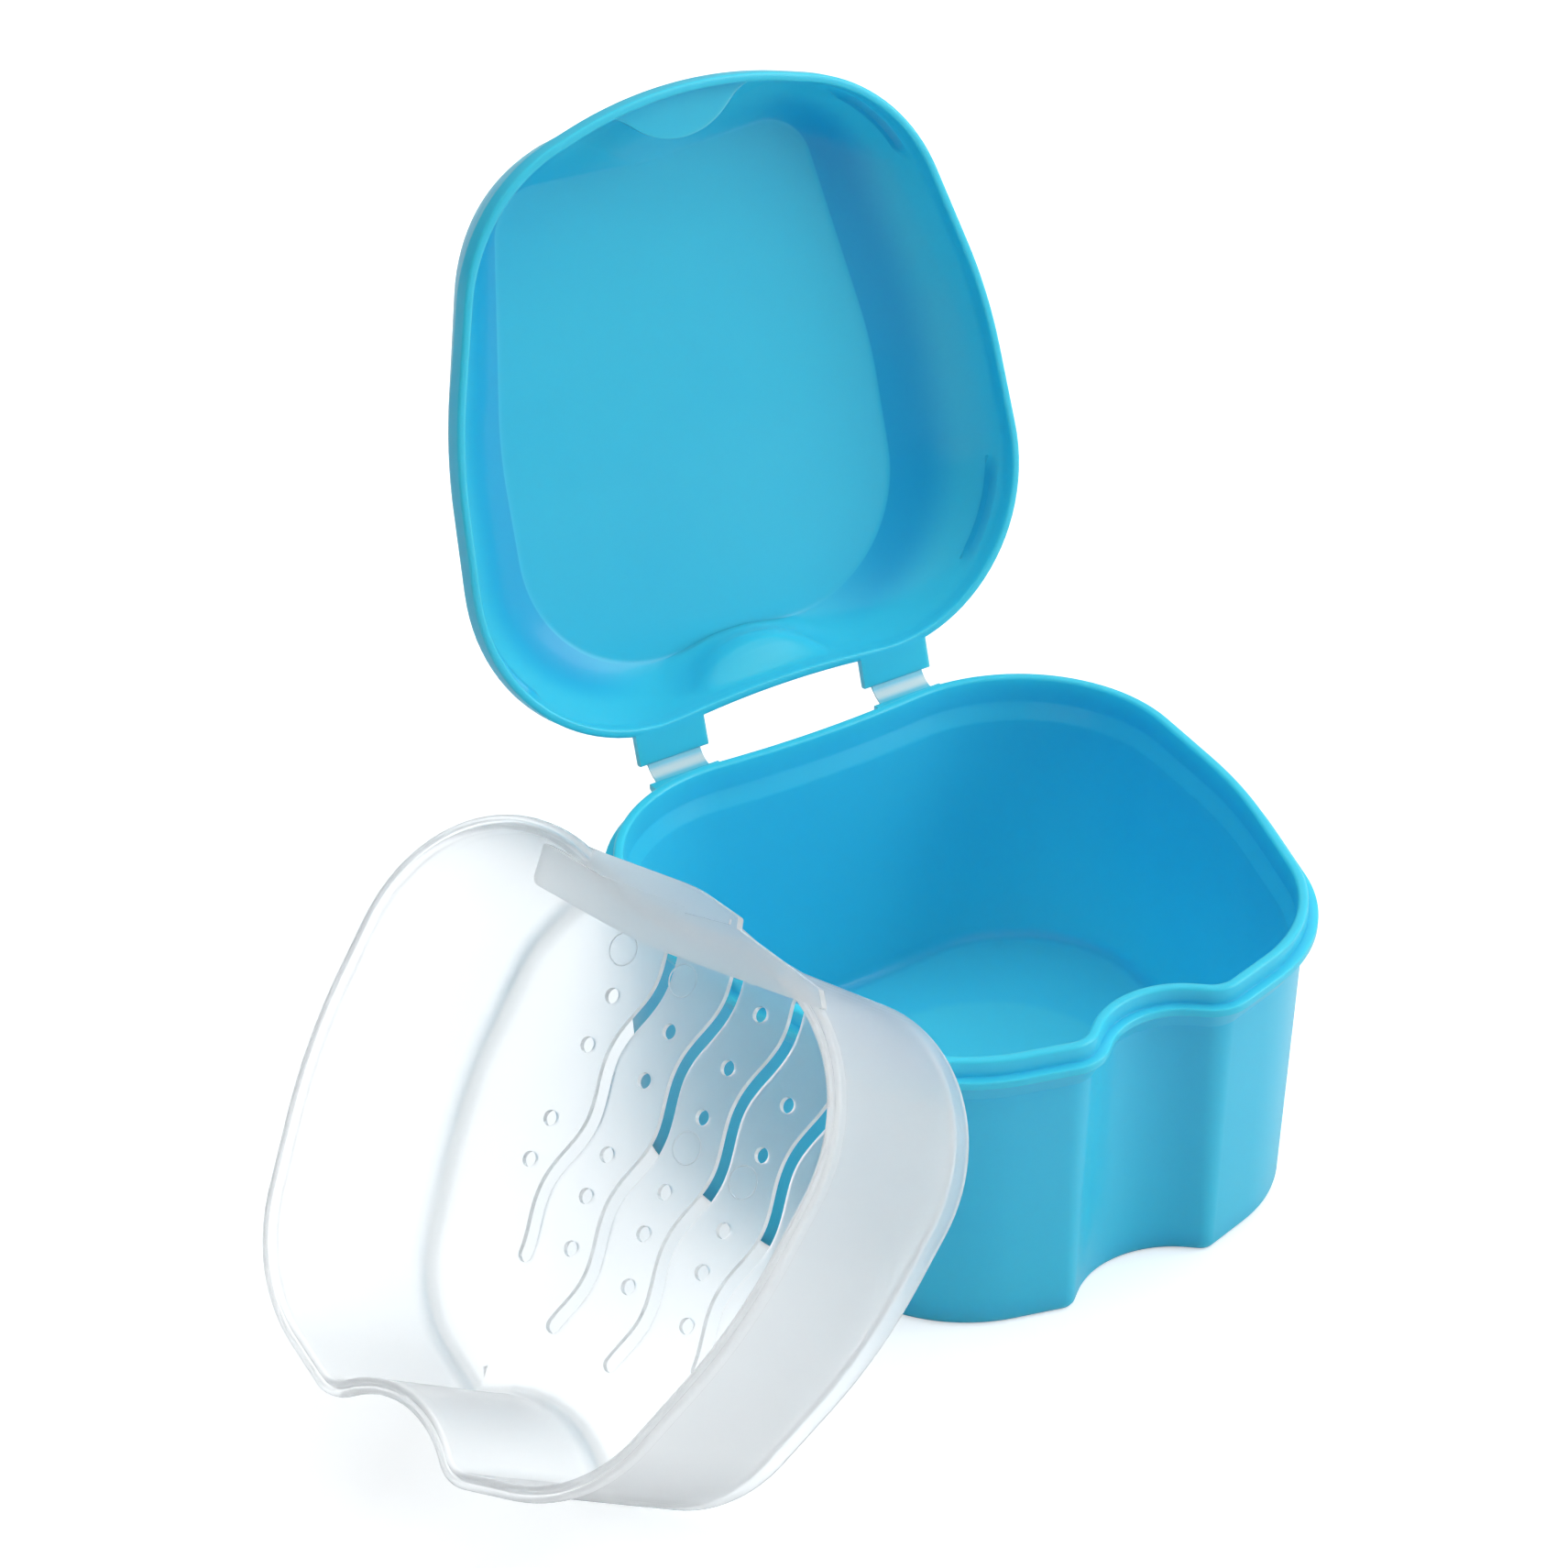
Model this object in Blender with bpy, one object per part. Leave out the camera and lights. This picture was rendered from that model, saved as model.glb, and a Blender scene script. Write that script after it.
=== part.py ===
"""Denture case: a box with a domed lid on two moulded straps, and a strainer basket leaning beside it."""

import math

import bmesh
import bpy
import numpy as np
from mathutils import Euler, Matrix

MM = 0.001

# The box's outline seen from above, as the corners of its right half with their radii. The hinge is at +Y.
HALF_WIDTH = 45.90 * MM
BACK_MIDDLE_Y = 43.15 * MM
BACK_MIDDLE_R = 160.0 * MM
BACK_CORNER_X_SHARE = 1.0392
BACK_CORNER_Y = 47.10 * MM
BACK_CORNER_R_SHARE = 0.5621
SIDE_X_SHARE = 0.9728
SIDE_Y = -3.73 * MM
SIDE_R = 80.0 * MM
FRONT_CORNER_X_SHARE = 0.7586
FRONT_CORNER_Y = -38.30 * MM
FRONT_CORNER_R_SHARE = 0.5621
SHOULDER_X_SHARE = 0.2453
SHOULDER_Y = -45.00 * MM
SHOULDER_R_SHARE = 0.1133
NOTCH_DEPTH_SHARE = 0.2113
NOTCH_R_SHARE = 0.2560
BACK_CORNER_X = HALF_WIDTH * BACK_CORNER_X_SHARE
SIDE_X = HALF_WIDTH * SIDE_X_SHARE
FRONT_CORNER_X = HALF_WIDTH * FRONT_CORNER_X_SHARE
SHOULDER_X = HALF_WIDTH * SHOULDER_X_SHARE
BACK_CORNER_R = HALF_WIDTH * BACK_CORNER_R_SHARE
FRONT_CORNER_R = HALF_WIDTH * FRONT_CORNER_R_SHARE
SHOULDER_R = HALF_WIDTH * SHOULDER_R_SHARE
NOTCH_R = HALF_WIDTH * NOTCH_R_SHARE
NOTCH_Y = SHOULDER_Y + HALF_WIDTH * NOTCH_DEPTH_SHARE
LEAST_R = 0.05 * MM

# The same front on the lid runs on smoothly, without the finger notch.
LID_FRONT_Y = -48.15 * MM
LID_FRONT_R_SHARE = 1.3791
LID_FRONT_R = HALF_WIDTH * LID_FRONT_R_SHARE

# How finely each corner of an outline is rounded.
BACK_MIDDLE_STEPS = 14
BACK_CORNER_STEPS = 13
SIDE_STEPS = 4
FRONT_CORNER_STEPS = 9
SHOULDER_STEPS = 7
NOTCH_STEPS = 14
LID_FRONT_STEPS = 24

# Box: heights and insets of its wall, collar and ledge.
CASE_HEIGHT = 48.65 * MM
CASE_FLOOR = 2.60 * MM
CASE_FOOT_ROUND = 1.00 * MM
CASE_DRAFT_INSET = 2.78 * MM
CASE_WALL_BASE = 0.95 * MM
NECK_INSET = 0.58 * MM
NECK_DROP = 6.80 * MM
COLLAR_OUT = 1.50 * MM
COLLAR_EDGE_OUT = 0.76 * MM
COLLAR_EDGE_DROP = 3.99 * MM
SHOULDER_DROP = 2.54 * MM
LIP_WIDTH = 1.50 * MM
LIP_ROUND = 0.40 * MM
LEDGE_DROP = 4.80 * MM
LEDGE_WIDTH = 1.10 * MM
FLOOR_FILLET = 1.40 * MM

# Lid: measured up from its rim's plane as it lies closed.
LID_CLEARANCE = 0.30 * MM
LID_OUT = 1.60 * MM
LID_SEAT_GAP = 0.30 * MM
TAB_UNDER = 1.85 * MM
TAB_THICK = 1.20 * MM
SKIRT_TOP = 3.20 * MM
LID_WALL = 1.25 * MM
PANEL_HEIGHT = 14.60 * MM
PANEL_THICK = 1.30 * MM
CREASE_ROUND = 0.50 * MM
ARC_START = math.radians(18.0)
ARC_END = math.radians(66.0)
ARC_STEPS = 9
STEP_RISE = 0.10 * MM
PANEL_EDGE_ROUND = 0.40 * MM
NOTCH_FADE_SHARE = 0.45

# The lid's flat top panel, as the corners of its right half.
PANEL_CORNER_X_SHARE = 0.7190
PANEL_SIDE_X_SHARE = 0.7102
PANEL_FRONT_X_SHARE = 0.5664
PANEL_BACK_Y = 40.60 * MM
PANEL_BACK_R = 200.0 * MM
PANEL_CORNER_X = HALF_WIDTH * PANEL_CORNER_X_SHARE
PANEL_CORNER_Y = 41.20 * MM
PANEL_CORNER_R_SHARE = 0.4684
PANEL_CORNER_R = HALF_WIDTH * PANEL_CORNER_R_SHARE
PANEL_SIDE_X = HALF_WIDTH * PANEL_SIDE_X_SHARE
PANEL_SIDE_Y = 1.80 * MM
PANEL_SIDE_R = 75.0 * MM
PANEL_FRONT_X = HALF_WIDTH * PANEL_FRONT_X_SHARE
PANEL_FRONT_Y = -36.00 * MM
PANEL_FRONT_R_SHARE = 0.1743
PANEL_FRONT_R = HALF_WIDTH * PANEL_FRONT_R_SHARE
PANEL_NOSE_Y = -34.60 * MM
PANEL_NOSE_R_SHARE = 1.3072
PANEL_NOSE_R = HALF_WIDTH * PANEL_NOSE_R_SHARE

# The shallow scoop in the lid's back wall between the straps.
SCOOP_HALF = 11.70 * MM
SCOOP_DEPTH = 4.10 * MM
SCOOP_FROM_SHARE = 0.05
SCOOP_FULL_SHARE = 0.30
SCOOP_FADE_SHARE = 0.50
SCOOP_TOP_SHARE = 0.35

# Four low snap ribs inside the lid's wall.
RIB_HEIGHT = 4.80 * MM
RIB_HALF = 0.45 * MM
RIB_FADE = 0.50 * MM
RIB_REACH = 0.75 * MM
RIB_BACK_FROM_Y = 23.0 * MM
RIB_BACK_TO_Y = 37.5 * MM
RIB_FRONT_FROM_Y = -39.5 * MM
RIB_FRONT_TO_Y = -27.0 * MM
RIB_FRONT_MIN_X = 22.5 * MM

# Hinge: two thin webs between the box's leaves and the lid's tabs.
OPEN_ANGLE = math.radians(105.13)
LEAF_INNER_SHARE = 0.3050
LEAF_OUTER_SHARE = 0.5632
LEAF_INNER_X = HALF_WIDTH * LEAF_INNER_SHARE
LEAF_OUTER_X = HALF_WIDTH * LEAF_OUTER_SHARE
LEAF_REACH = 2.70 * MM
LEAF_END_Y = BACK_CORNER_Y + LEAF_REACH
LEAF_TOP_DROP = 3.70 * MM
LEAF_THICK = 1.10 * MM
LEAF_FOOT_DROP = 6.20 * MM
LEAF_ROOT = 2.20 * MM
HINGE_REACH = 1.55 * MM
HINGE_DROP = 2.81 * MM
HINGE_Y = LEAF_END_Y + HINGE_REACH
HINGE_Z = CASE_HEIGHT - HINGE_DROP
TAB_SHORT = 0.85 * MM
TAB_ROOT_SET = 1.55 * MM
TAB_END_Y = HINGE_Y - TAB_SHORT
TAB_ROOT_Y = BACK_CORNER_Y - TAB_ROOT_SET
TAB_PLATE = 1.15 * MM
WEB_SET = 1.38 * MM
WEB_INNER_X = LEAF_INNER_X + WEB_SET
WEB_OUTER_X = LEAF_OUTER_X - WEB_SET
WEB_THICK = 0.50 * MM
WEB_GAP = 0.25 * MM
WEB_SAG = 0.35 * MM
WEB_STEPS = 8

# Basket: its outline is the box's, drawn in where it has to pass the lip and the ledge.
BASKET_CLEARANCE = 0.35 * MM
BASKET_BACK_CORNER_SET = 2.03 * MM
BASKET_BACK_DEEPER = 5.07 * MM
BASKET_BACK_MIDDLE_R_SHARE = 1.2200
BASKET_BACK_MIDDLE_R = HALF_WIDTH * BASKET_BACK_MIDDLE_R_SHARE
BASKET_FRONT_SET = 1.86 * MM
BASKET_SHOULDER_SET = 0.56 * MM
BASKET_SHOULDER_R_SHARE = 0.1634
BASKET_SHOULDER_R = HALF_WIDTH * BASKET_SHOULDER_R_SHARE
BASKET_NOTCH_SET = 0.30 * MM
BASKET_NOTCH_R_SHARE = 0.2636
BASKET_NOTCH_R = HALF_WIDTH * BASKET_NOTCH_R_SHARE
BASKET_DEPTH = 35.10 * MM
BASKET_BASE_SET = 2.05 * MM
BEAD_WIDTH = 2.20 * MM
BEAD_HEIGHT = 1.90 * MM
BEAD_ROUND = 0.70 * MM
BEAD_OVERHANG = 1.00 * MM
BASKET_WALL = 1.15 * MM
BASKET_FLOOR_TOP = 31.30 * MM
BASKET_FLOOR_THICK = 0.85 * MM
BASKET_FOOT_WIDTH = 1.20 * MM
BASKET_FILLET = 1.00 * MM

# The basket's floor: wavy slots between straight columns of drain holes.
PITCH_SHARE = 0.2499
PITCH = HALF_WIDTH * PITCH_SHARE
SLOT_WIDTH = 2.35 * MM
SLOT_SWING = 1.05 * MM
SLOT_WAVE = 21.15 * MM
SLOT_STEPS = 34
INNER_SLOT_BACK_Y = 31.60 * MM
INNER_SLOT_FRONT_Y = -23.90 * MM
OUTER_SLOT_BACK_Y = 28.80 * MM
OUTER_SLOT_FRONT_Y = -17.80 * MM
SLOT_END_STEPS = 6
HOLE_DIAMETER = 2.25 * MM
HOLE_STEPS = 12
HOLE_FIRST_Y = 27.78 * MM
HOLE_FIRST_SHIFT = 0.76 * MM
HOLE_ROW_2_Y = 19.21 * MM
HOLE_ROW_3_Y = 11.59 * MM
HOLE_ROW_4_Y = 0.08 * MM
HOLE_ROW_5_Y = -6.35 * MM
HOLE_ROW_6_Y = -13.65 * MM
HOLE_LAST_SHIFT = 1.74 * MM

# The lift tab across the basket's back rim, as corners on the rim's plane.
GRIP_TOP = 0.25 * MM
GRIP_THICK = 1.25 * MM
GRIP_LEFT_X = -20.90 * MM
GRIP_LEFT_Y = 36.75 * MM
GRIP_HEEL_X = -19.70 * MM
GRIP_HEEL_Y = 31.40 * MM
GRIP_HEEL_R = 1.40 * MM
GRIP_LIP_MIDDLE_X = 1.00 * MM
GRIP_LIP_MIDDLE_Y = 32.05 * MM
GRIP_LIP_MIDDLE_R = 90.0 * MM
GRIP_LIP_RIGHT_X = 31.00 * MM
GRIP_LIP_RIGHT_Y = 37.00 * MM
GRIP_ROOT_X = 29.00 * MM
GRIP_ROOT_Y = 39.00 * MM
GRIP_NECK_X = 13.40 * MM
GRIP_NECK_Y = 40.20 * MM
GRIP_NOSE_X = 12.80 * MM
GRIP_NOSE_Y = 41.60 * MM
GRIP_NOSE_R = 0.50 * MM
GRIP_BROW_X = 4.20 * MM
GRIP_BROW_Y = 42.10 * MM
GRIP_BROW_R = 24.0 * MM
GRIP_FAR_X = -13.20 * MM
GRIP_FAR_Y = 39.45 * MM
GRIP_WEDGE_X = -12.60 * MM
GRIP_WEDGE_Y = 37.60 * MM
GRIP_STEPS = 6
RIDGE_HALF = 0.35 * MM
RIDGE_RISE = 0.55 * MM
RIDGE_SINK = 0.45 * MM
RIDGE_LEFT_X = -19.60 * MM
RIDGE_LEFT_Y = 36.45 * MM
RIDGE_BEND_X = -9.50 * MM
RIDGE_BEND_Y = 36.70 * MM
RIDGE_MIDDLE_X = 5.00 * MM
RIDGE_MIDDLE_Y = 38.85 * MM
RIDGE_RIGHT_X = 12.20 * MM
RIDGE_RIGHT_Y = 40.55 * MM

# Where the basket leans: its rim's middle and its turns about X, Y and Z.
LEAN_ASIDE = 45.65 * MM
LEAN_X = -HALF_WIDTH - LEAN_ASIDE
LEAN_Y = -30.20 * MM
LEAN_Z = 53.40 * MM
LEAN_TURN_X = math.radians(50.97)
LEAN_TURN_Y = math.radians(1.93)
LEAN_TURN_Z = math.radians(-77.25)

THROUGH = 2.0 * MM
HALF = 0.5
ROUND_MIDDLE_SHARE = 0.3


def arc_points(before, corner, after, radius, steps):
    """The rounded corner between two straight edges, as steps + 1 points."""
    back = (before - corner) / np.linalg.norm(before - corner)
    ahead = (after - corner) / np.linalg.norm(after - corner)
    inside = math.acos(float(np.clip(back @ ahead, -1.0, 1.0)))
    reach = radius / math.tan(inside * HALF)
    middle = back + ahead
    centre = corner + middle / np.linalg.norm(middle) * radius / math.sin(inside * HALF)
    start = corner + back * reach - centre
    side = math.copysign(1.0, float(back[0] * ahead[1] - back[1] * ahead[0]))
    sweep = (math.pi - inside) * -side
    turns = np.linspace(0.0, sweep, steps + 1)
    cos, sin = np.cos(turns), np.sin(turns)
    return centre + np.column_stack([start[0] * cos - start[1] * sin, start[0] * sin + start[1] * cos])


def moved_corners(corners, out):
    """The polygon's corners after every edge has moved outward by the same distance. It runs clockwise."""
    ahead = np.roll(corners, -1, axis=0) - corners
    ahead /= np.linalg.norm(ahead, axis=1)[:, None]
    normal = np.column_stack([-ahead[:, 1], ahead[:, 0]])
    before = np.roll(normal, 1, axis=0)
    spread = 1.0 + (before * normal).sum(axis=1)
    return corners + (before + normal) / spread[:, None] * out


def rounded(corners, radii, steps, out):
    """A clockwise closed outline with rounded corners, moved outward by a distance."""
    corners = np.array(corners, float)
    moved = moved_corners(corners, out)
    count = len(moved)
    parts = []
    for i in range(count):
        before, corner, after = moved[i - 1], moved[i], moved[(i + 1) % count]
        a, b = corner - before, after - corner
        convex = a[0] * b[1] - a[1] * b[0] < 0
        radius = max(LEAST_R, radii[i] + out if convex else radii[i] - out)
        parts.append(arc_points(before, corner, after, radius, steps[i]))
    return np.vstack(parts)


def mirrored(half, radii, steps):
    """The corners of a whole outline, from those of its right half between two middle ones."""
    left = [(-x, y) for x, y in half[-2:0:-1]]
    return half + left, radii + radii[-2:0:-1], steps + steps[-2:0:-1]


CASE_HALF = [
    (0.0, BACK_MIDDLE_Y),
    (BACK_CORNER_X, BACK_CORNER_Y),
    (SIDE_X, SIDE_Y),
    (FRONT_CORNER_X, FRONT_CORNER_Y),
    (SHOULDER_X, SHOULDER_Y),
    (0.0, NOTCH_Y),
]
CASE_OUTLINE = mirrored(
    CASE_HALF,
    [BACK_MIDDLE_R, BACK_CORNER_R, SIDE_R, FRONT_CORNER_R, SHOULDER_R, NOTCH_R],
    [BACK_MIDDLE_STEPS, BACK_CORNER_STEPS, SIDE_STEPS, FRONT_CORNER_STEPS, SHOULDER_STEPS, NOTCH_STEPS],
)
LID_STEPS = [BACK_MIDDLE_STEPS, BACK_CORNER_STEPS, SIDE_STEPS, FRONT_CORNER_STEPS, LID_FRONT_STEPS]
LID_OUTLINE = mirrored(
    CASE_HALF[:4] + [(0.0, LID_FRONT_Y)],
    [BACK_MIDDLE_R, BACK_CORNER_R, SIDE_R, FRONT_CORNER_R, LID_FRONT_R],
    LID_STEPS,
)
PANEL_OUTLINE = mirrored(
    [
        (0.0, PANEL_BACK_Y),
        (PANEL_CORNER_X, PANEL_CORNER_Y),
        (PANEL_SIDE_X, PANEL_SIDE_Y),
        (PANEL_FRONT_X, PANEL_FRONT_Y),
        (0.0, PANEL_NOSE_Y),
    ],
    [PANEL_BACK_R, PANEL_CORNER_R, PANEL_SIDE_R, PANEL_FRONT_R, PANEL_NOSE_R],
    LID_STEPS,
)
BASKET_OUTLINE = mirrored(
    [
        (0.0, BACK_MIDDLE_Y - BASKET_BACK_DEEPER),
        (BACK_CORNER_X - BASKET_BACK_CORNER_SET, BACK_CORNER_Y),
        (SIDE_X, SIDE_Y),
        (FRONT_CORNER_X, FRONT_CORNER_Y + BASKET_FRONT_SET),
        (SHOULDER_X, SHOULDER_Y + BASKET_SHOULDER_SET),
        (0.0, NOTCH_Y + BASKET_NOTCH_SET),
    ],
    [BASKET_BACK_MIDDLE_R, BACK_CORNER_R, SIDE_R, FRONT_CORNER_R, BASKET_SHOULDER_R, BASKET_NOTCH_R],
    [BACK_MIDDLE_STEPS, BACK_CORNER_STEPS, SIDE_STEPS, FRONT_CORNER_STEPS, SHOULDER_STEPS, NOTCH_STEPS],
)


def ring(outline, out, height):
    points = rounded(*outline, out)
    return np.column_stack([points, np.full(len(points), height)])


def object_from(name, mesh):
    bmesh.ops.recalc_face_normals(mesh, faces=mesh.faces)
    data = bpy.data.meshes.new(name)
    mesh.to_mesh(data)
    mesh.free()
    thing = bpy.data.objects.new(name, data)
    bpy.context.scene.collection.objects.link(thing)
    return thing


def lofted(name, rings):
    """A closed skin through rings of equal count, with a flat cap on the first and the last."""
    mesh = bmesh.new()
    rows = [[mesh.verts.new(p) for p in points] for points in rings]
    count = len(rows[0])
    for low, high in zip(rows, rows[1:]):
        for i in range(count):
            j = (i + 1) % count
            mesh.faces.new((low[i], low[j], high[j], high[i]))
    mesh.faces.new(rows[0])
    mesh.faces.new(rows[-1])
    return object_from(name, mesh)


def prism(name, outline, low, high):
    """An upright solid over a flat outline."""
    points = np.array(outline, float)
    rings = [np.column_stack([points, np.full(len(points), z)]) for z in (low, high)]
    return lofted(name, rings)


def material(name, colour, roughness, transmission):
    shade = bpy.data.materials.new(name)
    shade.use_nodes = True
    surface = shade.node_tree.nodes["Principled BSDF"]
    surface.inputs["Base Color"].default_value = (*colour, 1.0)
    surface.inputs["Roughness"].default_value = roughness
    surface.inputs["Metallic"].default_value = 0.0
    surface.inputs["Transmission Weight"].default_value = transmission
    return shade


def finish(thing, shade, smooth_under=math.radians(32.0)):
    thing.data.materials.clear()
    thing.data.materials.append(shade)
    thing.data.shade_smooth()
    thing.data.set_sharp_from_angle(angle=smooth_under)


def helper(thing):
    thing.hide_render = True
    thing.display_type = "WIRE"
    return thing


def boolean(thing, other, operation):
    step = thing.modifiers.new(other.name, "BOOLEAN")
    step.operation = operation
    step.solver = "EXACT"
    step.object = helper(other)


def build_case():
    inner_low = -CASE_DRAFT_INSET - CASE_WALL_BASE
    ledge = -LIP_WIDTH - LEDGE_WIDTH
    top = CASE_HEIGHT
    profile = [
        (-CASE_DRAFT_INSET - CASE_FOOT_ROUND, 0.0),
        (-CASE_DRAFT_INSET - CASE_FOOT_ROUND * ROUND_MIDDLE_SHARE, CASE_FOOT_ROUND * ROUND_MIDDLE_SHARE),
        (-CASE_DRAFT_INSET, CASE_FOOT_ROUND),
        (-NECK_INSET, top - NECK_DROP),
        (COLLAR_EDGE_OUT, top - COLLAR_EDGE_DROP),
        (COLLAR_OUT, top - COLLAR_EDGE_DROP + (COLLAR_OUT - COLLAR_EDGE_OUT) * HALF),
        (COLLAR_OUT, top - SHOULDER_DROP - STEP_RISE),
        (COLLAR_OUT - STEP_RISE, top - SHOULDER_DROP),
        (0.0, top - SHOULDER_DROP),
        (0.0, top - LIP_ROUND),
        (-LIP_ROUND * ROUND_MIDDLE_SHARE, top - LIP_ROUND * ROUND_MIDDLE_SHARE),
        (-LIP_ROUND, top),
        (-LIP_WIDTH + LIP_ROUND, top),
        (-LIP_WIDTH + LIP_ROUND * ROUND_MIDDLE_SHARE, top - LIP_ROUND * ROUND_MIDDLE_SHARE),
        (-LIP_WIDTH, top - LIP_ROUND),
        (-LIP_WIDTH, top - LEDGE_DROP),
        (ledge, top - LEDGE_DROP - STEP_RISE),
        (inner_low, CASE_FLOOR + FLOOR_FILLET),
        (inner_low - FLOOR_FILLET * ROUND_MIDDLE_SHARE, CASE_FLOOR + FLOOR_FILLET * ROUND_MIDDLE_SHARE),
        (inner_low - FLOOR_FILLET, CASE_FLOOR),
    ]
    case = lofted("case_base", [ring(CASE_OUTLINE, out, z) for out, z in profile])
    leaf_top = top - LEAF_TOP_DROP
    wall_y = BACK_CORNER_Y - LEAF_ROOT
    side = [
        (wall_y, leaf_top),
        (LEAF_END_Y, leaf_top),
        (LEAF_END_Y, leaf_top - LEAF_THICK),
        (wall_y, top - LEAF_FOOT_DROP),
    ]
    for sign in (-1.0, 1.0):
        leaf = bar_along_x("leaf", side, sign * LEAF_INNER_X, sign * LEAF_OUTER_X)
        boolean(case, leaf, "UNION")
    finish(case, material("polypropylene_blue", (0.05, 0.42, 0.68), 0.22, 0.35))
    return case


def bar_along_x(name, side, start, end):
    """A bar along X whose side view is a list of (y, z)."""
    rings = [[(x, y, z) for y, z in side] for x in (start, end)]
    return lofted(name, rings)


def following_notch(points, out):
    """A lid ring drawn in where the box's front has its finger notch."""
    case = rounded(*CASE_OUTLINE, out)
    front = case[case[:, 1] < SIDE_Y]
    front = front[np.abs(front[:, 0]) < FRONT_CORNER_X]
    front = front[np.argsort(front[:, 0])]
    result = points.copy()
    near = (points[:, 1] < FRONT_CORNER_Y) & (np.abs(points[:, 0]) < SHOULDER_X + SHOULDER_R)
    wanted = np.interp(points[near, 0], front[:, 0], front[:, 1])
    result[near, 1] = np.maximum(points[near, 1], wanted)
    return result


def scooped(points, out, up):
    """A lid ring drawn in between the straps, most of all halfway up the dome."""
    share = points[:, 0] / (SCOOP_HALF - out)
    near = (np.abs(share) < 1.0) & (points[:, 1] > SIDE_Y)
    heights = [SCOOP_FROM_SHARE, SCOOP_FULL_SHARE, SCOOP_FADE_SHARE, 1.0]
    fade = np.interp(up, heights, [0.0, 1.0, 1.0, SCOOP_TOP_SHARE])
    result = points.copy()
    result[near, 1] -= SCOOP_DEPTH * fade * (1.0 - share[near] ** 2)
    return result


def lid_dome(skirt_out, low, panel_out, high):
    """Rings from the skirt's top round to the flat panel, each a share of the way along an arc."""
    plain = ring(LID_OUTLINE, skirt_out, low)
    notched = following_notch(plain, skirt_out)
    end = ring(PANEL_OUTLINE, panel_out, high)
    whole_across = math.cos(ARC_START) - math.cos(ARC_END)
    whole_up = math.sin(ARC_END) - math.sin(ARC_START)
    rings = []
    for turn in np.linspace(ARC_START, ARC_END, ARC_STEPS + 1)[1:]:
        across = (math.cos(ARC_START) - math.cos(turn)) / whole_across
        up = (math.sin(turn) - math.sin(ARC_START)) / whole_up
        notch = max(0.0, 1.0 - up / NOTCH_FADE_SHARE)
        start = plain + (notched - plain) * notch
        points = start * (1.0 - across) + end * across
        points[:, 2] = low + (high - low) * up
        rings.append(scooped(points, skirt_out - LID_CLEARANCE, up))
    return rings


def ribbed(points):
    """A ring of the lid's inner wall drawn in along the four snap ribs."""
    x, y = np.abs(points[:, 0]), points[:, 1]
    back = (y > RIB_BACK_FROM_Y) & (y < RIB_BACK_TO_Y)
    front = (y > RIB_FRONT_FROM_Y) & (y < RIB_FRONT_TO_Y) & (x > RIB_FRONT_MIN_X)
    result = points.copy()
    picked = back | front
    away = points[picked, :2] - np.array([0.0, SIDE_Y * HALF])
    away /= np.linalg.norm(away, axis=1)[:, None]
    result[picked, :2] -= away * RIB_REACH
    return result


def between(low_ring, high_ring, height):
    share = (height - low_ring[0, 2]) / (high_ring[0, 2] - low_ring[0, 2])
    return low_ring * (1.0 - share) + high_ring * share


def with_ribs(rings):
    """The inner wall's rings with the ribs' four rows put in at their height."""
    heights = [points[0, 2] for points in rings]
    rows = []
    foot = RIB_HALF + RIB_FADE
    for offset, raised in ((-foot, False), (-RIB_HALF, True), (RIB_HALF, True), (foot, False)):
        height = RIB_HEIGHT + offset
        i = int(np.searchsorted(heights, height))
        row = between(rings[i - 1], rings[i], height)
        rows.append(ribbed(row) if raised else row)
    kept = [points for points in rings if abs(points[0, 2] - RIB_HEIGHT) > foot + STEP_RISE]
    return sorted(kept + rows, key=lambda points: points[0, 2])


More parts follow.
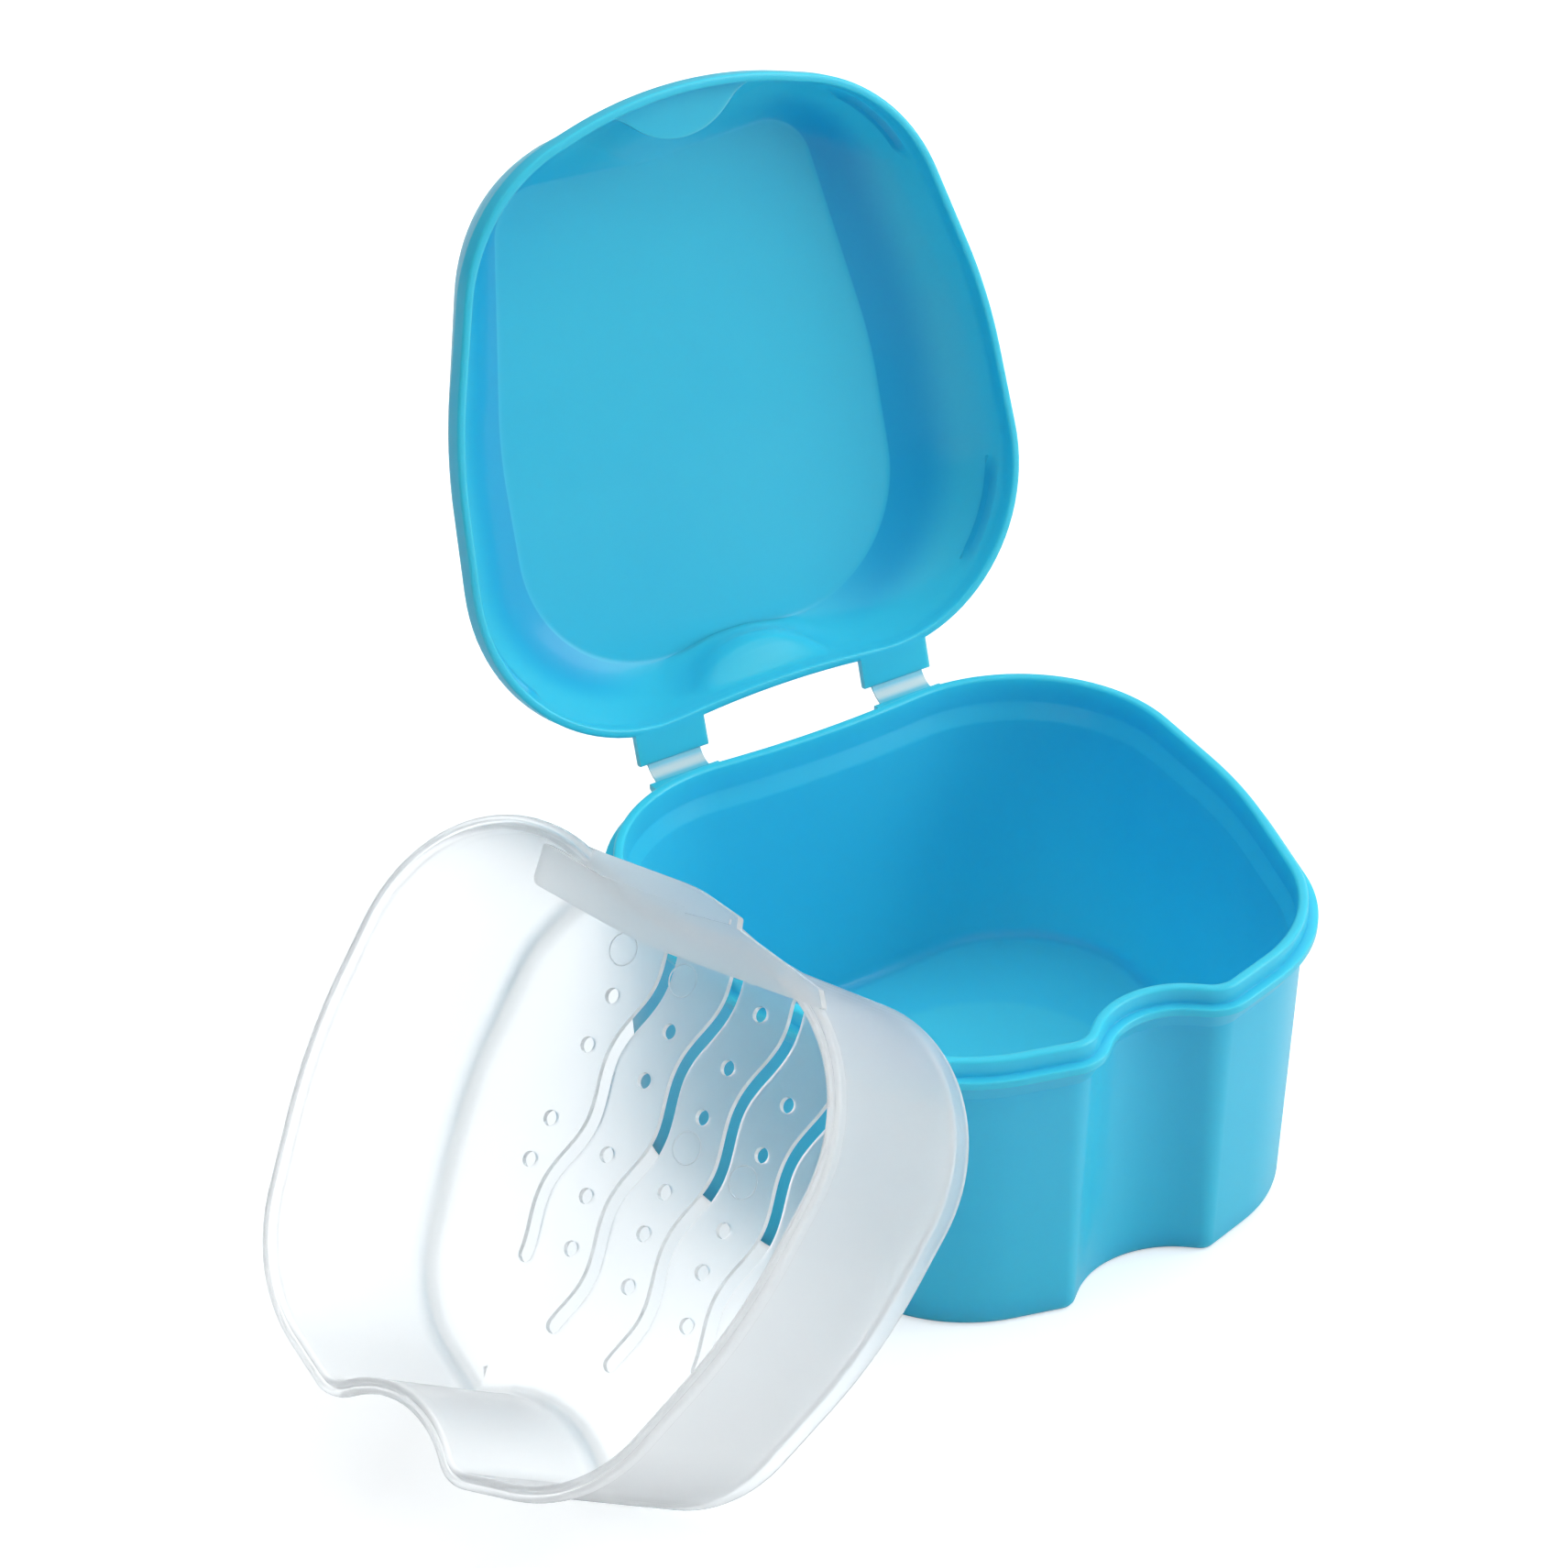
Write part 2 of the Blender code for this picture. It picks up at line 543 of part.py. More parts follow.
def build_lid():
    inner, outer = LID_CLEARANCE, LID_OUT
    skirt_out = inner + LID_WALL
    tab_top = TAB_UNDER + TAB_THICK
    wall_foot = tab_top + STEP_RISE
    panel_top = PANEL_HEIGHT + PANEL_THICK
    outside = [
        ring(LID_OUTLINE, outer, STEP_RISE),
        ring(LID_OUTLINE, outer, tab_top - STEP_RISE),
        ring(LID_OUTLINE, outer - STEP_RISE, tab_top),
        following_notch(ring(LID_OUTLINE, skirt_out - STEP_RISE, wall_foot), skirt_out),
    ]
    outside += lid_dome(
        skirt_out - STEP_RISE,
        wall_foot + STEP_RISE,
        LID_WALL - CREASE_ROUND,
        panel_top - PANEL_EDGE_ROUND * HALF,
    )
    outside.append(ring(PANEL_OUTLINE, LID_WALL - CREASE_ROUND - PANEL_EDGE_ROUND, panel_top))
    inside = [
        ring(LID_OUTLINE, outer - STEP_RISE, 0.0),
        ring(LID_OUTLINE, inner, 0.0),
        ring(LID_OUTLINE, inner, TAB_UNDER - STEP_RISE),
    ]
    wall = [
        following_notch(ring(LID_OUTLINE, inner, TAB_UNDER), inner),
        following_notch(ring(LID_OUTLINE, inner, SKIRT_TOP), inner),
    ]
    wall += lid_dome(inner, SKIRT_TOP, 0.0, PANEL_HEIGHT)
    rings = outside[::-1] + inside + with_ribs(wall)
    rim_z = CASE_HEIGHT - SHOULDER_DROP + LID_SEAT_GAP
    shift = np.array([0.0, -HINGE_Y, rim_z - HINGE_Z])
    lid = lofted("lid", [points + shift for points in rings])
    side = [
        (TAB_ROOT_Y - HINGE_Y, shift[2]),
        (TAB_END_Y - HINGE_Y, shift[2]),
        (TAB_END_Y - HINGE_Y, shift[2] + TAB_PLATE),
        (TAB_ROOT_Y - HINGE_Y, shift[2] + TAB_PLATE),
    ]
    for sign in (-1.0, 1.0):
        tab = bar_along_x("tab", side, sign * LEAF_INNER_X, sign * LEAF_OUTER_X)
        tab.location = (0.0, HINGE_Y, HINGE_Z)
        tab.rotation_euler = (-OPEN_ANGLE, 0.0, 0.0)
        boolean(lid, tab, "UNION")
    lid.location = (0.0, HINGE_Y, HINGE_Z)
    lid.rotation_euler = (-OPEN_ANGLE, 0.0, 0.0)
    finish(lid, material("polypropylene_blue_lid", (0.06, 0.46, 0.72), 0.22, 0.35))
    return lid


def turned(y, z):
    """A point of the closed lid's side view, carried to where it is with the lid open."""
    cos, sin = math.cos(-OPEN_ANGLE), math.sin(-OPEN_ANGLE)
    dy, dz = y - HINGE_Y, z - HINGE_Z
    return HINGE_Y + dy * cos - dz * sin, HINGE_Z + dy * sin + dz * cos


def build_web(name, sign):
    """A thin curved strip from the leaf's end to the open tab's end."""
    rim_z = CASE_HEIGHT - SHOULDER_DROP + LID_SEAT_GAP
    start = np.array([LEAF_END_Y + WEB_GAP, CASE_HEIGHT - LEAF_TOP_DROP - LEAF_THICK * HALF])
    end = np.array(turned(TAB_END_Y + WEB_GAP, rim_z + TAB_PLATE * HALF))
    line = end - start
    across = np.array([-line[1], line[0]]) / np.linalg.norm(line)
    upper, lower = [], []
    for share in np.linspace(0.0, 1.0, WEB_STEPS + 1):
        middle = start + line * share - across * WEB_SAG * math.sin(math.pi * share)
        upper.append(middle + across * WEB_THICK * HALF)
        lower.append(middle - across * WEB_THICK * HALF)
    side = [tuple(p) for p in upper + lower[::-1]]
    web = bar_along_x(name, side, sign * WEB_INNER_X, sign * WEB_OUTER_X)
    finish(web, material(name + "_polypropylene", (0.30, 0.70, 0.85), 0.25, 0.45))
    return web


def slot_outline(x, back, front):
    """A slot that winds round a straight line, with round ends."""
    ys = np.linspace(back, front, SLOT_STEPS + 1)
    angle = 2.0 * math.pi * (back - ys) / SLOT_WAVE
    xs = x + SLOT_SWING * np.sin(angle)
    centre = np.column_stack([xs, ys])
    ahead = np.gradient(centre, axis=0)
    ahead /= np.linalg.norm(ahead, axis=1)[:, None]
    normal = np.column_stack([-ahead[:, 1], ahead[:, 0]])
    reach = SLOT_WIDTH * HALF
    turns = np.linspace(0.0, math.pi, SLOT_END_STEPS + 2)[1:-1]
    end = [centre[-1] + reach * (normal[-1] * math.cos(t) + ahead[-1] * math.sin(t)) for t in turns]
    start = [centre[0] - reach * (normal[0] * math.cos(t) + ahead[0] * math.sin(t)) for t in turns]
    return np.vstack([centre + normal * reach, end, (centre - normal * reach)[::-1], start])


def circle(x, y):
    turns = np.linspace(0.0, 2.0 * math.pi, HOLE_STEPS + 1)[:-1]
    radius = HOLE_DIAMETER * HALF
    return np.column_stack([x + radius * np.cos(turns), y + radius * np.sin(turns)])


def many_prisms(name, outlines, low, high):
    """Several upright solids, apart from each other, in one mesh."""
    mesh = bmesh.new()
    for outline in outlines:
        rows = [[mesh.verts.new((x, y, z)) for x, y in outline] for z in (low, high)]
        count = len(outline)
        for i in range(count):
            j = (i + 1) % count
            mesh.faces.new((rows[0][i], rows[0][j], rows[1][j], rows[1][i]))
        mesh.faces.new(rows[0])
        mesh.faces.new(rows[1])
    return object_from(name, mesh)


def floor_cutters():
    slots = []
    for side in (-1.0, 1.0):
        inner_x = side * PITCH * HALF
        outer_x = inner_x + side * PITCH
        slots.append(slot_outline(outer_x, OUTER_SLOT_BACK_Y, OUTER_SLOT_FRONT_Y))
        slots.append(slot_outline(inner_x, INNER_SLOT_BACK_Y, INNER_SLOT_FRONT_Y))
    holes = [circle(HOLE_FIRST_SHIFT, HOLE_FIRST_Y)]
    for y in (HOLE_ROW_2_Y, HOLE_ROW_3_Y, HOLE_ROW_4_Y, HOLE_ROW_5_Y):
        holes += [circle(column * PITCH, y) for column in (-2, -1, 0, 1, 2)]
    holes += [circle(column * PITCH + HOLE_LAST_SHIFT, HOLE_ROW_6_Y) for column in (-1, 0, 1)]
    low = -BASKET_FLOOR_TOP - BASKET_FLOOR_THICK - THROUGH
    return many_prisms("floor_cutter", slots + holes, low, -BASKET_FLOOR_TOP + THROUGH)


def grip_outline():
    corners = [
        (GRIP_LEFT_X, GRIP_LEFT_Y),
        (GRIP_WEDGE_X, GRIP_WEDGE_Y),
        (GRIP_FAR_X, GRIP_FAR_Y),
        (GRIP_BROW_X, GRIP_BROW_Y),
        (GRIP_NOSE_X, GRIP_NOSE_Y),
        (GRIP_NECK_X, GRIP_NECK_Y),
        (GRIP_ROOT_X, GRIP_ROOT_Y),
        (GRIP_LIP_RIGHT_X, GRIP_LIP_RIGHT_Y),
        (GRIP_LIP_MIDDLE_X, GRIP_LIP_MIDDLE_Y),
        (GRIP_HEEL_X, GRIP_HEEL_Y),
    ]
    small = GRIP_NOSE_R * HALF
    radii = [small, small, small, GRIP_BROW_R, GRIP_NOSE_R, small, small, small]
    radii += [GRIP_LIP_MIDDLE_R, GRIP_HEEL_R]
    steps = [2, 2, 2, GRIP_STEPS, 3, 2, 2, 2, GRIP_STEPS, GRIP_STEPS]
    return rounded(corners, radii, steps, 0.0)


def ridge_outline():
    line = np.array([
        (RIDGE_LEFT_X, RIDGE_LEFT_Y),
        (RIDGE_BEND_X, RIDGE_BEND_Y),
        (RIDGE_MIDDLE_X, RIDGE_MIDDLE_Y),
        (RIDGE_RIGHT_X, RIDGE_RIGHT_Y),
    ])
    ahead = np.gradient(line, axis=0)
    ahead /= np.linalg.norm(ahead, axis=1)[:, None]
    normal = np.column_stack([-ahead[:, 1], ahead[:, 0]]) * RIDGE_HALF
    return np.vstack([line + normal, (line - normal)[::-1]])


def build_basket():
    bead_out = -LIP_WIDTH - BASKET_CLEARANCE
    wall_out = bead_out - BEAD_OVERHANG
    bead_in = bead_out - BEAD_WIDTH
    base_out = bead_out - BASKET_BASE_SET
    base_in = base_out - BASKET_WALL
    floor_z = -BASKET_FLOOR_TOP
    under_z = floor_z - BASKET_FLOOR_THICK
    foot_in = base_out - BASKET_FOOT_WIDTH
    profile = [
        (base_in - BASKET_FILLET, floor_z),
        (base_in - BASKET_FILLET * ROUND_MIDDLE_SHARE, floor_z + BASKET_FILLET * ROUND_MIDDLE_SHARE),
        (base_in, floor_z + BASKET_FILLET),
        (bead_in, -BEAD_HEIGHT - BEAD_OVERHANG),
        (bead_in, -BEAD_ROUND),
        (bead_in + BEAD_ROUND * ROUND_MIDDLE_SHARE, -BEAD_ROUND * ROUND_MIDDLE_SHARE),
        (bead_in + BEAD_ROUND, 0.0),
        (bead_out - BEAD_ROUND, 0.0),
        (bead_out - BEAD_ROUND * ROUND_MIDDLE_SHARE, -BEAD_ROUND * ROUND_MIDDLE_SHARE),
        (bead_out, -BEAD_ROUND),
        (bead_out, -BEAD_HEIGHT),
        (wall_out, -BEAD_HEIGHT - STEP_RISE),
        (base_out, -BASKET_DEPTH + BEAD_ROUND * HALF),
        (base_out - BEAD_ROUND * HALF, -BASKET_DEPTH),
        (foot_in, -BASKET_DEPTH),
        (foot_in - STEP_RISE, under_z - STEP_RISE),
        (foot_in - BEAD_ROUND * HALF, under_z),
    ]
    basket = lofted("basket", [ring(BASKET_OUTLINE, out, z) for out, z in profile])
    lean = Euler((LEAN_TURN_X, LEAN_TURN_Y, LEAN_TURN_Z), "XYZ")
    place = Matrix.Translation((LEAN_X, LEAN_Y, LEAN_Z)) @ lean.to_matrix().to_4x4()
    grip = prism("grip", grip_outline(), GRIP_TOP - GRIP_THICK, GRIP_TOP)
    ridge = prism("ridge", ridge_outline(), GRIP_TOP - RIDGE_SINK, GRIP_TOP + RIDGE_RISE)
    cutter = floor_cutters()
    for thing in (basket, grip, ridge, cutter):
        thing.matrix_world = place
    boolean(basket, grip, "UNION")
    boolean(basket, ridge, "UNION")
    boolean(basket, cutter, "DIFFERENCE")
    finish(basket, material("polypropylene_natural", (0.86, 0.89, 0.90), 0.34, 0.30))
    return basket


for old in list(bpy.data.objects):
    bpy.data.objects.remove(old, do_unlink=True)
build_case()
build_lid()
build_web("hinge_web_left", -1.0)
build_web("hinge_web_right", 1.0)
build_basket()
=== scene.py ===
import math

import bmesh
import bpy
import numpy as np
from mathutils import Euler, Matrix, Vector
from mathutils.kdtree import KDTree


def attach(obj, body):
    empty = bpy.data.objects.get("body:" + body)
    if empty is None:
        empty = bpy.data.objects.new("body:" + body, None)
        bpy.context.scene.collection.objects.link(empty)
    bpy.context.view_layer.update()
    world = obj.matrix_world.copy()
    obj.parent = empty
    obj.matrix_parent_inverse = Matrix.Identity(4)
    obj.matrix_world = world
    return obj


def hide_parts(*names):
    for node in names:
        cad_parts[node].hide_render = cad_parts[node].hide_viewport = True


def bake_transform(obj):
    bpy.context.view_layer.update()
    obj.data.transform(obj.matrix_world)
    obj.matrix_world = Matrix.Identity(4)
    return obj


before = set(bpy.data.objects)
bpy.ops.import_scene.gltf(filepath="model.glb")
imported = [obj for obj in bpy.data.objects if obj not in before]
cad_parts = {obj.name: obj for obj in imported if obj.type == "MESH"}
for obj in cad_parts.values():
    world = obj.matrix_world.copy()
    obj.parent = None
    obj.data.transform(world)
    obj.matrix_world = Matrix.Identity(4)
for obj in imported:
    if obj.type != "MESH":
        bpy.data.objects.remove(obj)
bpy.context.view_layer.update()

MM = 0.001
HALF = 0.5
LEAST_RADIUS = 0.08

# Box outline seen from above: the corners of its right half, each with its radius and its steps.
BACK_MIDDLE = (0.0, 43.15, 160.0, 24)
BACK_CORNER = (47.70, 47.10, 25.80, 26)
SIDE = (44.65, -3.73, 80.0, 8)
FRONT_CORNER = (34.82, -38.30, 25.80, 18)
SHOULDER = (11.26, -45.00, 5.20, 12)
NOTCH = (0.0, -35.30, 11.75, 26)
LID_FRONT = (0.0, -48.15, 63.30, 44)
BASKET_BACK_MIDDLE = (0.0, 38.08, 56.0, 24)
BASKET_BACK_CORNER = (45.67, 47.10, 25.80, 26)
BASKET_FRONT_CORNER = (34.82, -36.44, 25.80, 18)
BASKET_SHOULDER = (11.26, -44.44, 7.50, 12)
BASKET_NOTCH = (0.0, -35.00, 12.10, 26)
PANEL_BACK_MIDDLE = (0.0, 40.60, 200.0, 24)
PANEL_BACK_CORNER = (33.00, 41.20, 21.50, 26)
PANEL_SIDE = (32.60, 1.80, 75.0, 8)
PANEL_FRONT_CORNER = (26.00, -36.00, 8.00, 18)
PANEL_NOSE = (0.0, -34.60, 60.0, 44)

# Box: heights and insets of its wall, collar and ledge, in mm.
CASE_HEIGHT = 48.65
CASE_FLOOR = 2.60
CASE_DRAFT_INSET = 2.78
CASE_WALL_BASE = 0.95
NECK_INSET = 0.58
NECK_DROP = 6.80
COLLAR_OUT = 1.50
COLLAR_EDGE_OUT = 0.76
COLLAR_EDGE_DROP = 3.99
SHOULDER_DROP = 2.54
LIP_WIDTH = 1.50
LEDGE_DROP = 4.80
LEDGE_WIDTH = 1.10
LEDGE_SLOPE_ABOVE = 0.6
LEDGE_SLOPE_BELOW = 2.2
COLLAR_BEVEL = 0.20
FOOT_RADIUS = 1.3
FLOOR_CORNER_RADIUS = 2.2
FLOOR_TOLERANCE = 0.05
CAP_STEP = 0.4
BAR_BEVEL = 0.2

# Lid, measured up from its rim's plane as it lies closed, in mm.
LID_CLEARANCE = 0.30
LID_OUT = 1.60
LID_SEAT_GAP = 0.30
TAB_UNDER = 1.85
TAB_THICK = 1.20
RIM_STEP = 0.1
SKIRT_TOP = 3.20
LID_WALL = 1.25
PANEL_HEIGHT = 14.60
PANEL_THICK = 1.30
DOME_ARC_FROM = math.radians(18.0)
DOME_ARC_TO = math.radians(66.0)
DOME_STEPS = 18
NOTCH_FADE_SHARE = 0.45
SCOOP_HALF = 11.70
SCOOP_DEPTH = 4.10
SCOOP_FROM_SHARE = 0.05
SCOOP_FULL_SHARE = 0.30
SCOOP_FADE_SHARE = 0.50
SCOOP_TOP_SHARE = 0.35
# The rounding of the panel's edge as (out, drop), from the dome to the flat, on both faces.
PANEL_EDGE_OUTSIDE = ((0.64, 0.12), (0.50, 0.05), (0.32, 0.01), (0.15, 0.0), (-0.3, 0.0))
PANEL_EDGE_INSIDE = ((-0.18, 0.12), (-0.40, 0.05), (-0.65, 0.01), (-0.9, 0.0), (-1.3, 0.0))
RIB_HEIGHT = 4.80
RIB_HALF = 0.45
RIB_FADE = 0.50
RIB_REACH = 0.75
RIB_END_FADE = 1.2
RIB_BACK = (23.0, 37.5)
RIB_FRONT = (-39.5, -27.0)
RIB_FRONT_MIN_X = 22.5
# How much of the painted shade on the lid the snap ribs take.
RIB_SHADE_SHARE = 0.75

# Where the lid's colour is painted deeper as shade, in mm and as shares of the dome's height.
SHADE_SIDES = (14.0, 30.0)
SHADE_FRONT = (-47.0, -38.0)
SHADE_SHOULDER = (0.45, 0.85)
NOTCH_EDGE_WIDTH = 0.9
NOTCH_MIDDLE_SHARE = 0.75

# Hinge, in mm and radians.
HINGE_Y = 51.35
HINGE_Z = 45.84
OPEN_ANGLE = math.radians(105.13)
LEAF_INNER_X = 14.00
LEAF_OUTER_X = 25.85
LEAF_END_Y = 49.80
LEAF_TOP_DROP = 3.70
LEAF_THICK = 1.10
LEAF_FOOT_DROP = 6.20
LEAF_ROOT_Y = 44.90
TAB_END_Y = 50.50
TAB_ROOT_Y = 45.55
TAB_PLATE = 1.15
WEB_INNER_X = 15.38
WEB_OUTER_X = 24.47
WEB_THICK = 0.50
WEB_SAG = 0.35
WEB_OVERLAP = 0.05
WEB_STEPS = 24
WEB_COLUMNS = 13
WEB_WAIST = 0.62

# Basket: heights and insets from its rim's plane down, in mm.
BEAD_OUT = -1.85
BEAD_WIDTH = 2.20
BEAD_HEIGHT = 1.90
BEAD_OVERHANG = 1.00
GROOVE_DEPTH = 0.35
BASKET_DEPTH = 35.10
BASKET_BASE_SET = 2.05
BASKET_WALL = 1.15
BASKET_FLOOR_TOP = 31.30
BASKET_FLOOR_THICK = 0.85
BASKET_FOOT_WIDTH = 1.20
PITCH = 11.47
SLOT_WIDTH = 2.35
SLOT_SWING = 1.05
SLOT_WAVE = 21.15
SLOT_POINTS = 90
SLOT_END_POINTS = 12
CUT_BELOW = 2.0
CUT_ABOVE = 3.0
INNER_SLOT = (31.60, -23.90)
OUTER_SLOT = (28.80, -17.80)
HOLE_DIAMETER = 2.25
HOLE_ROWS = (19.21, 11.59, 0.08, -6.35)
HOLE_FIRST = (0.76, 27.78)
HOLE_LAST = (1.74, -13.65)
EJECTOR_MARKS = [(-2.16 * PITCH, 25.6), (-1.16 * PITCH, 26.2), (0.0, 6.9), (0.94 * PITCH, 7.1)]
EJECTOR_RADIUS = 2.3
EJECTOR_BEAD = 0.10
BASKET_PLACE = Vector((-91.55, -30.20, 53.40))
BASKET_TURN = Euler((math.radians(50.97), math.radians(1.93), math.radians(-77.25)), "XYZ")


def linear(hex_colour):
    """An sRGB hex colour as the linear values that a shader takes."""
    values = [int(hex_colour[i:i + 2], 16) / 255.0 for i in (1, 3, 5)]
    return tuple(v / 12.92 if v <= 0.04045 else ((v + 0.055) / 1.055) ** 2.4 for v in values) + (1.0,)


def node(tree, kind, settings=None, inputs=None, links=None):
    """Adds a node with its settings, its plain input values and what feeds its inputs."""
    made = tree.nodes.new(kind)
    for key, value in (settings or {}).items():
        setattr(made, key, value)
    for key, value in (inputs or {}).items():
        made.inputs[key].default_value = value
    for key, source in (links or {}).items():
        tree.links.new(source, made.inputs[key])
    return made


def arc_points(before, corner, after, radius, steps):
    """The rounded corner between two straight edges, as steps + 1 points."""
    back = (before - corner) / np.linalg.norm(before - corner)
    ahead = (after - corner) / np.linalg.norm(after - corner)
    inside = math.acos(float(np.clip(back @ ahead, -1.0, 1.0)))
    middle = back + ahead
    centre = corner + middle / np.linalg.norm(middle) * radius / math.sin(inside * HALF)
    start = corner + back * radius / math.tan(inside * HALF) - centre
    side = math.copysign(1.0, float(back[0] * ahead[1] - back[1] * ahead[0]))
    turns = np.linspace(0.0, -(math.pi - inside) * side, steps + 1)
    cos, sin = np.cos(turns), np.sin(turns)
    return centre + np.column_stack([start[0] * cos - start[1] * sin, start[0] * sin + start[1] * cos])


def whole(half):
    """The corners of a whole outline, from those of its right half between two middle ones."""
    return half + [(-x, y, radius, steps) for x, y, radius, steps in half[-2:0:-1]]


def outline(corners, out):
    """A clockwise closed outline with rounded corners, moved outward by a distance."""
    flat = np.array([corner[:2] for corner in corners])
    ahead = np.roll(flat, -1, axis=0) - flat
    ahead /= np.linalg.norm(ahead, axis=1)[:, None]
    normal = np.column_stack([-ahead[:, 1], ahead[:, 0]])
    before = np.roll(normal, 1, axis=0)
    spread = 1.0 + (before * normal).sum(axis=1)
    moved = flat + (before + normal) / spread[:, None] * out
    parts = []
    for i, (_, _, radius, steps) in enumerate(corners):
        last, here, following = moved[i - 1], moved[i], moved[(i + 1) % len(moved)]
        a, b = here - last, following - here
        grown = out if a[0] * b[1] - a[1] * b[0] < 0 else -out
        parts.append(arc_points(last, here, following, max(radius + grown, LEAST_RADIUS), steps))
    return np.vstack(parts)


CASE_OUTLINE = whole([BACK_MIDDLE, BACK_CORNER, SIDE, FRONT_CORNER, SHOULDER, NOTCH])
LID_OUTLINE = whole([BACK_MIDDLE, BACK_CORNER, SIDE, FRONT_CORNER, LID_FRONT])
PANEL_OUTLINE = whole([PANEL_BACK_MIDDLE, PANEL_BACK_CORNER, PANEL_SIDE, PANEL_FRONT_CORNER, PANEL_NOSE])
BASKET_OUTLINE = whole([
    BASKET_BACK_MIDDLE,
    BASKET_BACK_CORNER,
    SIDE,
    BASKET_FRONT_CORNER,
    BASKET_SHOULDER,
    BASKET_NOTCH,
])


def ring(corners, out, height):
    points = outline(corners, out)
    return np.column_stack([points, np.full(len(points), height)])


def softened(profile, steps=4):
    """An open side view of (out, height, radius) with its inner corners rounded, as (out, height)."""
    flat = [np.array(point[:2], float) for point in profile]
    result = [tuple(flat[0])]
    for i in range(1, len(flat) - 1):
        radius = profile[i][2]
        if radius:
            result += [tuple(p) for p in arc_points(flat[i - 1], flat[i], flat[i + 1], radius, steps)]
        else:
            result.append(tuple(flat[i]))
    return result + [tuple(flat[-1])]


def object_from(name, mesh):
    bmesh.ops.recalc_face_normals(mesh, faces=mesh.faces)
    data = bpy.data.meshes.new(name)
    mesh.to_mesh(data)
    mesh.free()
    thing = bpy.data.objects.new(name, data)
    bpy.context.scene.collection.objects.link(thing)
    return thing


def lofted(name, rings):
    """A closed skin through rings of equal count in mm, with a flat cap on the first and the last."""
    mesh = bmesh.new()
    rows = [[mesh.verts.new(p) for p in points * MM] for points in rings]
    count = len(rows[0])
    for low, high in zip(rows, rows[1:]):
        for i in range(count):
            j = (i + 1) % count
            mesh.faces.new((low[i], low[j], high[j], high[i]))
    mesh.faces.new(rows[0])
    mesh.faces.new(rows[-1])
    return object_from(name, mesh)


def prism(name, points, low, high):
    """An upright solid over a flat outline in mm."""
    points = np.array(points, float)
    return lofted(name, [np.column_stack([points, np.full(len(points), z)]) for z in (low, high)])


def bar_along_x(name, side, start, end):
    """A bar along X whose side view is a list of (y, z) in mm."""
    return lofted(name, [np.array([(x, y, z) for y, z in side], float) for x in (start, end)])


def cut_or_joined(thing, others):
    """Applies each Boolean and leaves a plain mesh. others are (object, operation)."""
    for other, operation in others:
        step = thing.modifiers.new(other.name, "BOOLEAN")
        step.operation = operation
        step.solver = "EXACT"
        step.object = other
    graph = bpy.context.evaluated_depsgraph_get()
    bpy.context.view_layer.update()
    plain = bpy.data.meshes.new_from_object(thing.evaluated_get(graph))
    thing.modifiers.clear()
    thing.data = plain
    for other, _ in others:
        bpy.data.objects.remove(other)
    return thing


def placed(thing, matrix):
    """Puts the place in the mesh, so that the object itself stays at the origin."""
    thing.data.transform(matrix)
    thing.matrix_world = Matrix.Identity(4)
    return thing


def finished(thing, material, smooth_under=math.radians(34.0)):
    thing.data.materials.clear()
    thing.data.materials.append(material)
    thing.data.shade_smooth()
    thing.data.set_sharp_from_angle(angle=smooth_under)
    return thing


def marked(thing, name, places, values):
    """Gives each vertex of a mesh the value of the nearest of the given places, as a point attribute."""
    tree = KDTree(len(places))
    for i, place in enumerate(places):
        tree.insert(place, i)
    tree.balance()
    found = [values[tree.find(vertex.co / MM)[1]] for vertex in thing.data.vertices]
    attribute = thing.data.attributes.new(name, "FLOAT", "POINT")
    attribute.data.foreach_set("value", np.array(found, np.float32))


def soft_step(values, low, high):
    share = np.clip((np.asarray(values) - low) / (high - low), 0.0, 1.0)
    return share * share * (3.0 - 2.0 * share)


def lid_turn():
    hinge = Matrix.Translation((0.0, HINGE_Y * MM, HINGE_Z * MM))
    return hinge @ Matrix.Rotation(-OPEN_ANGLE, 4, "X") @ hinge.inverted()


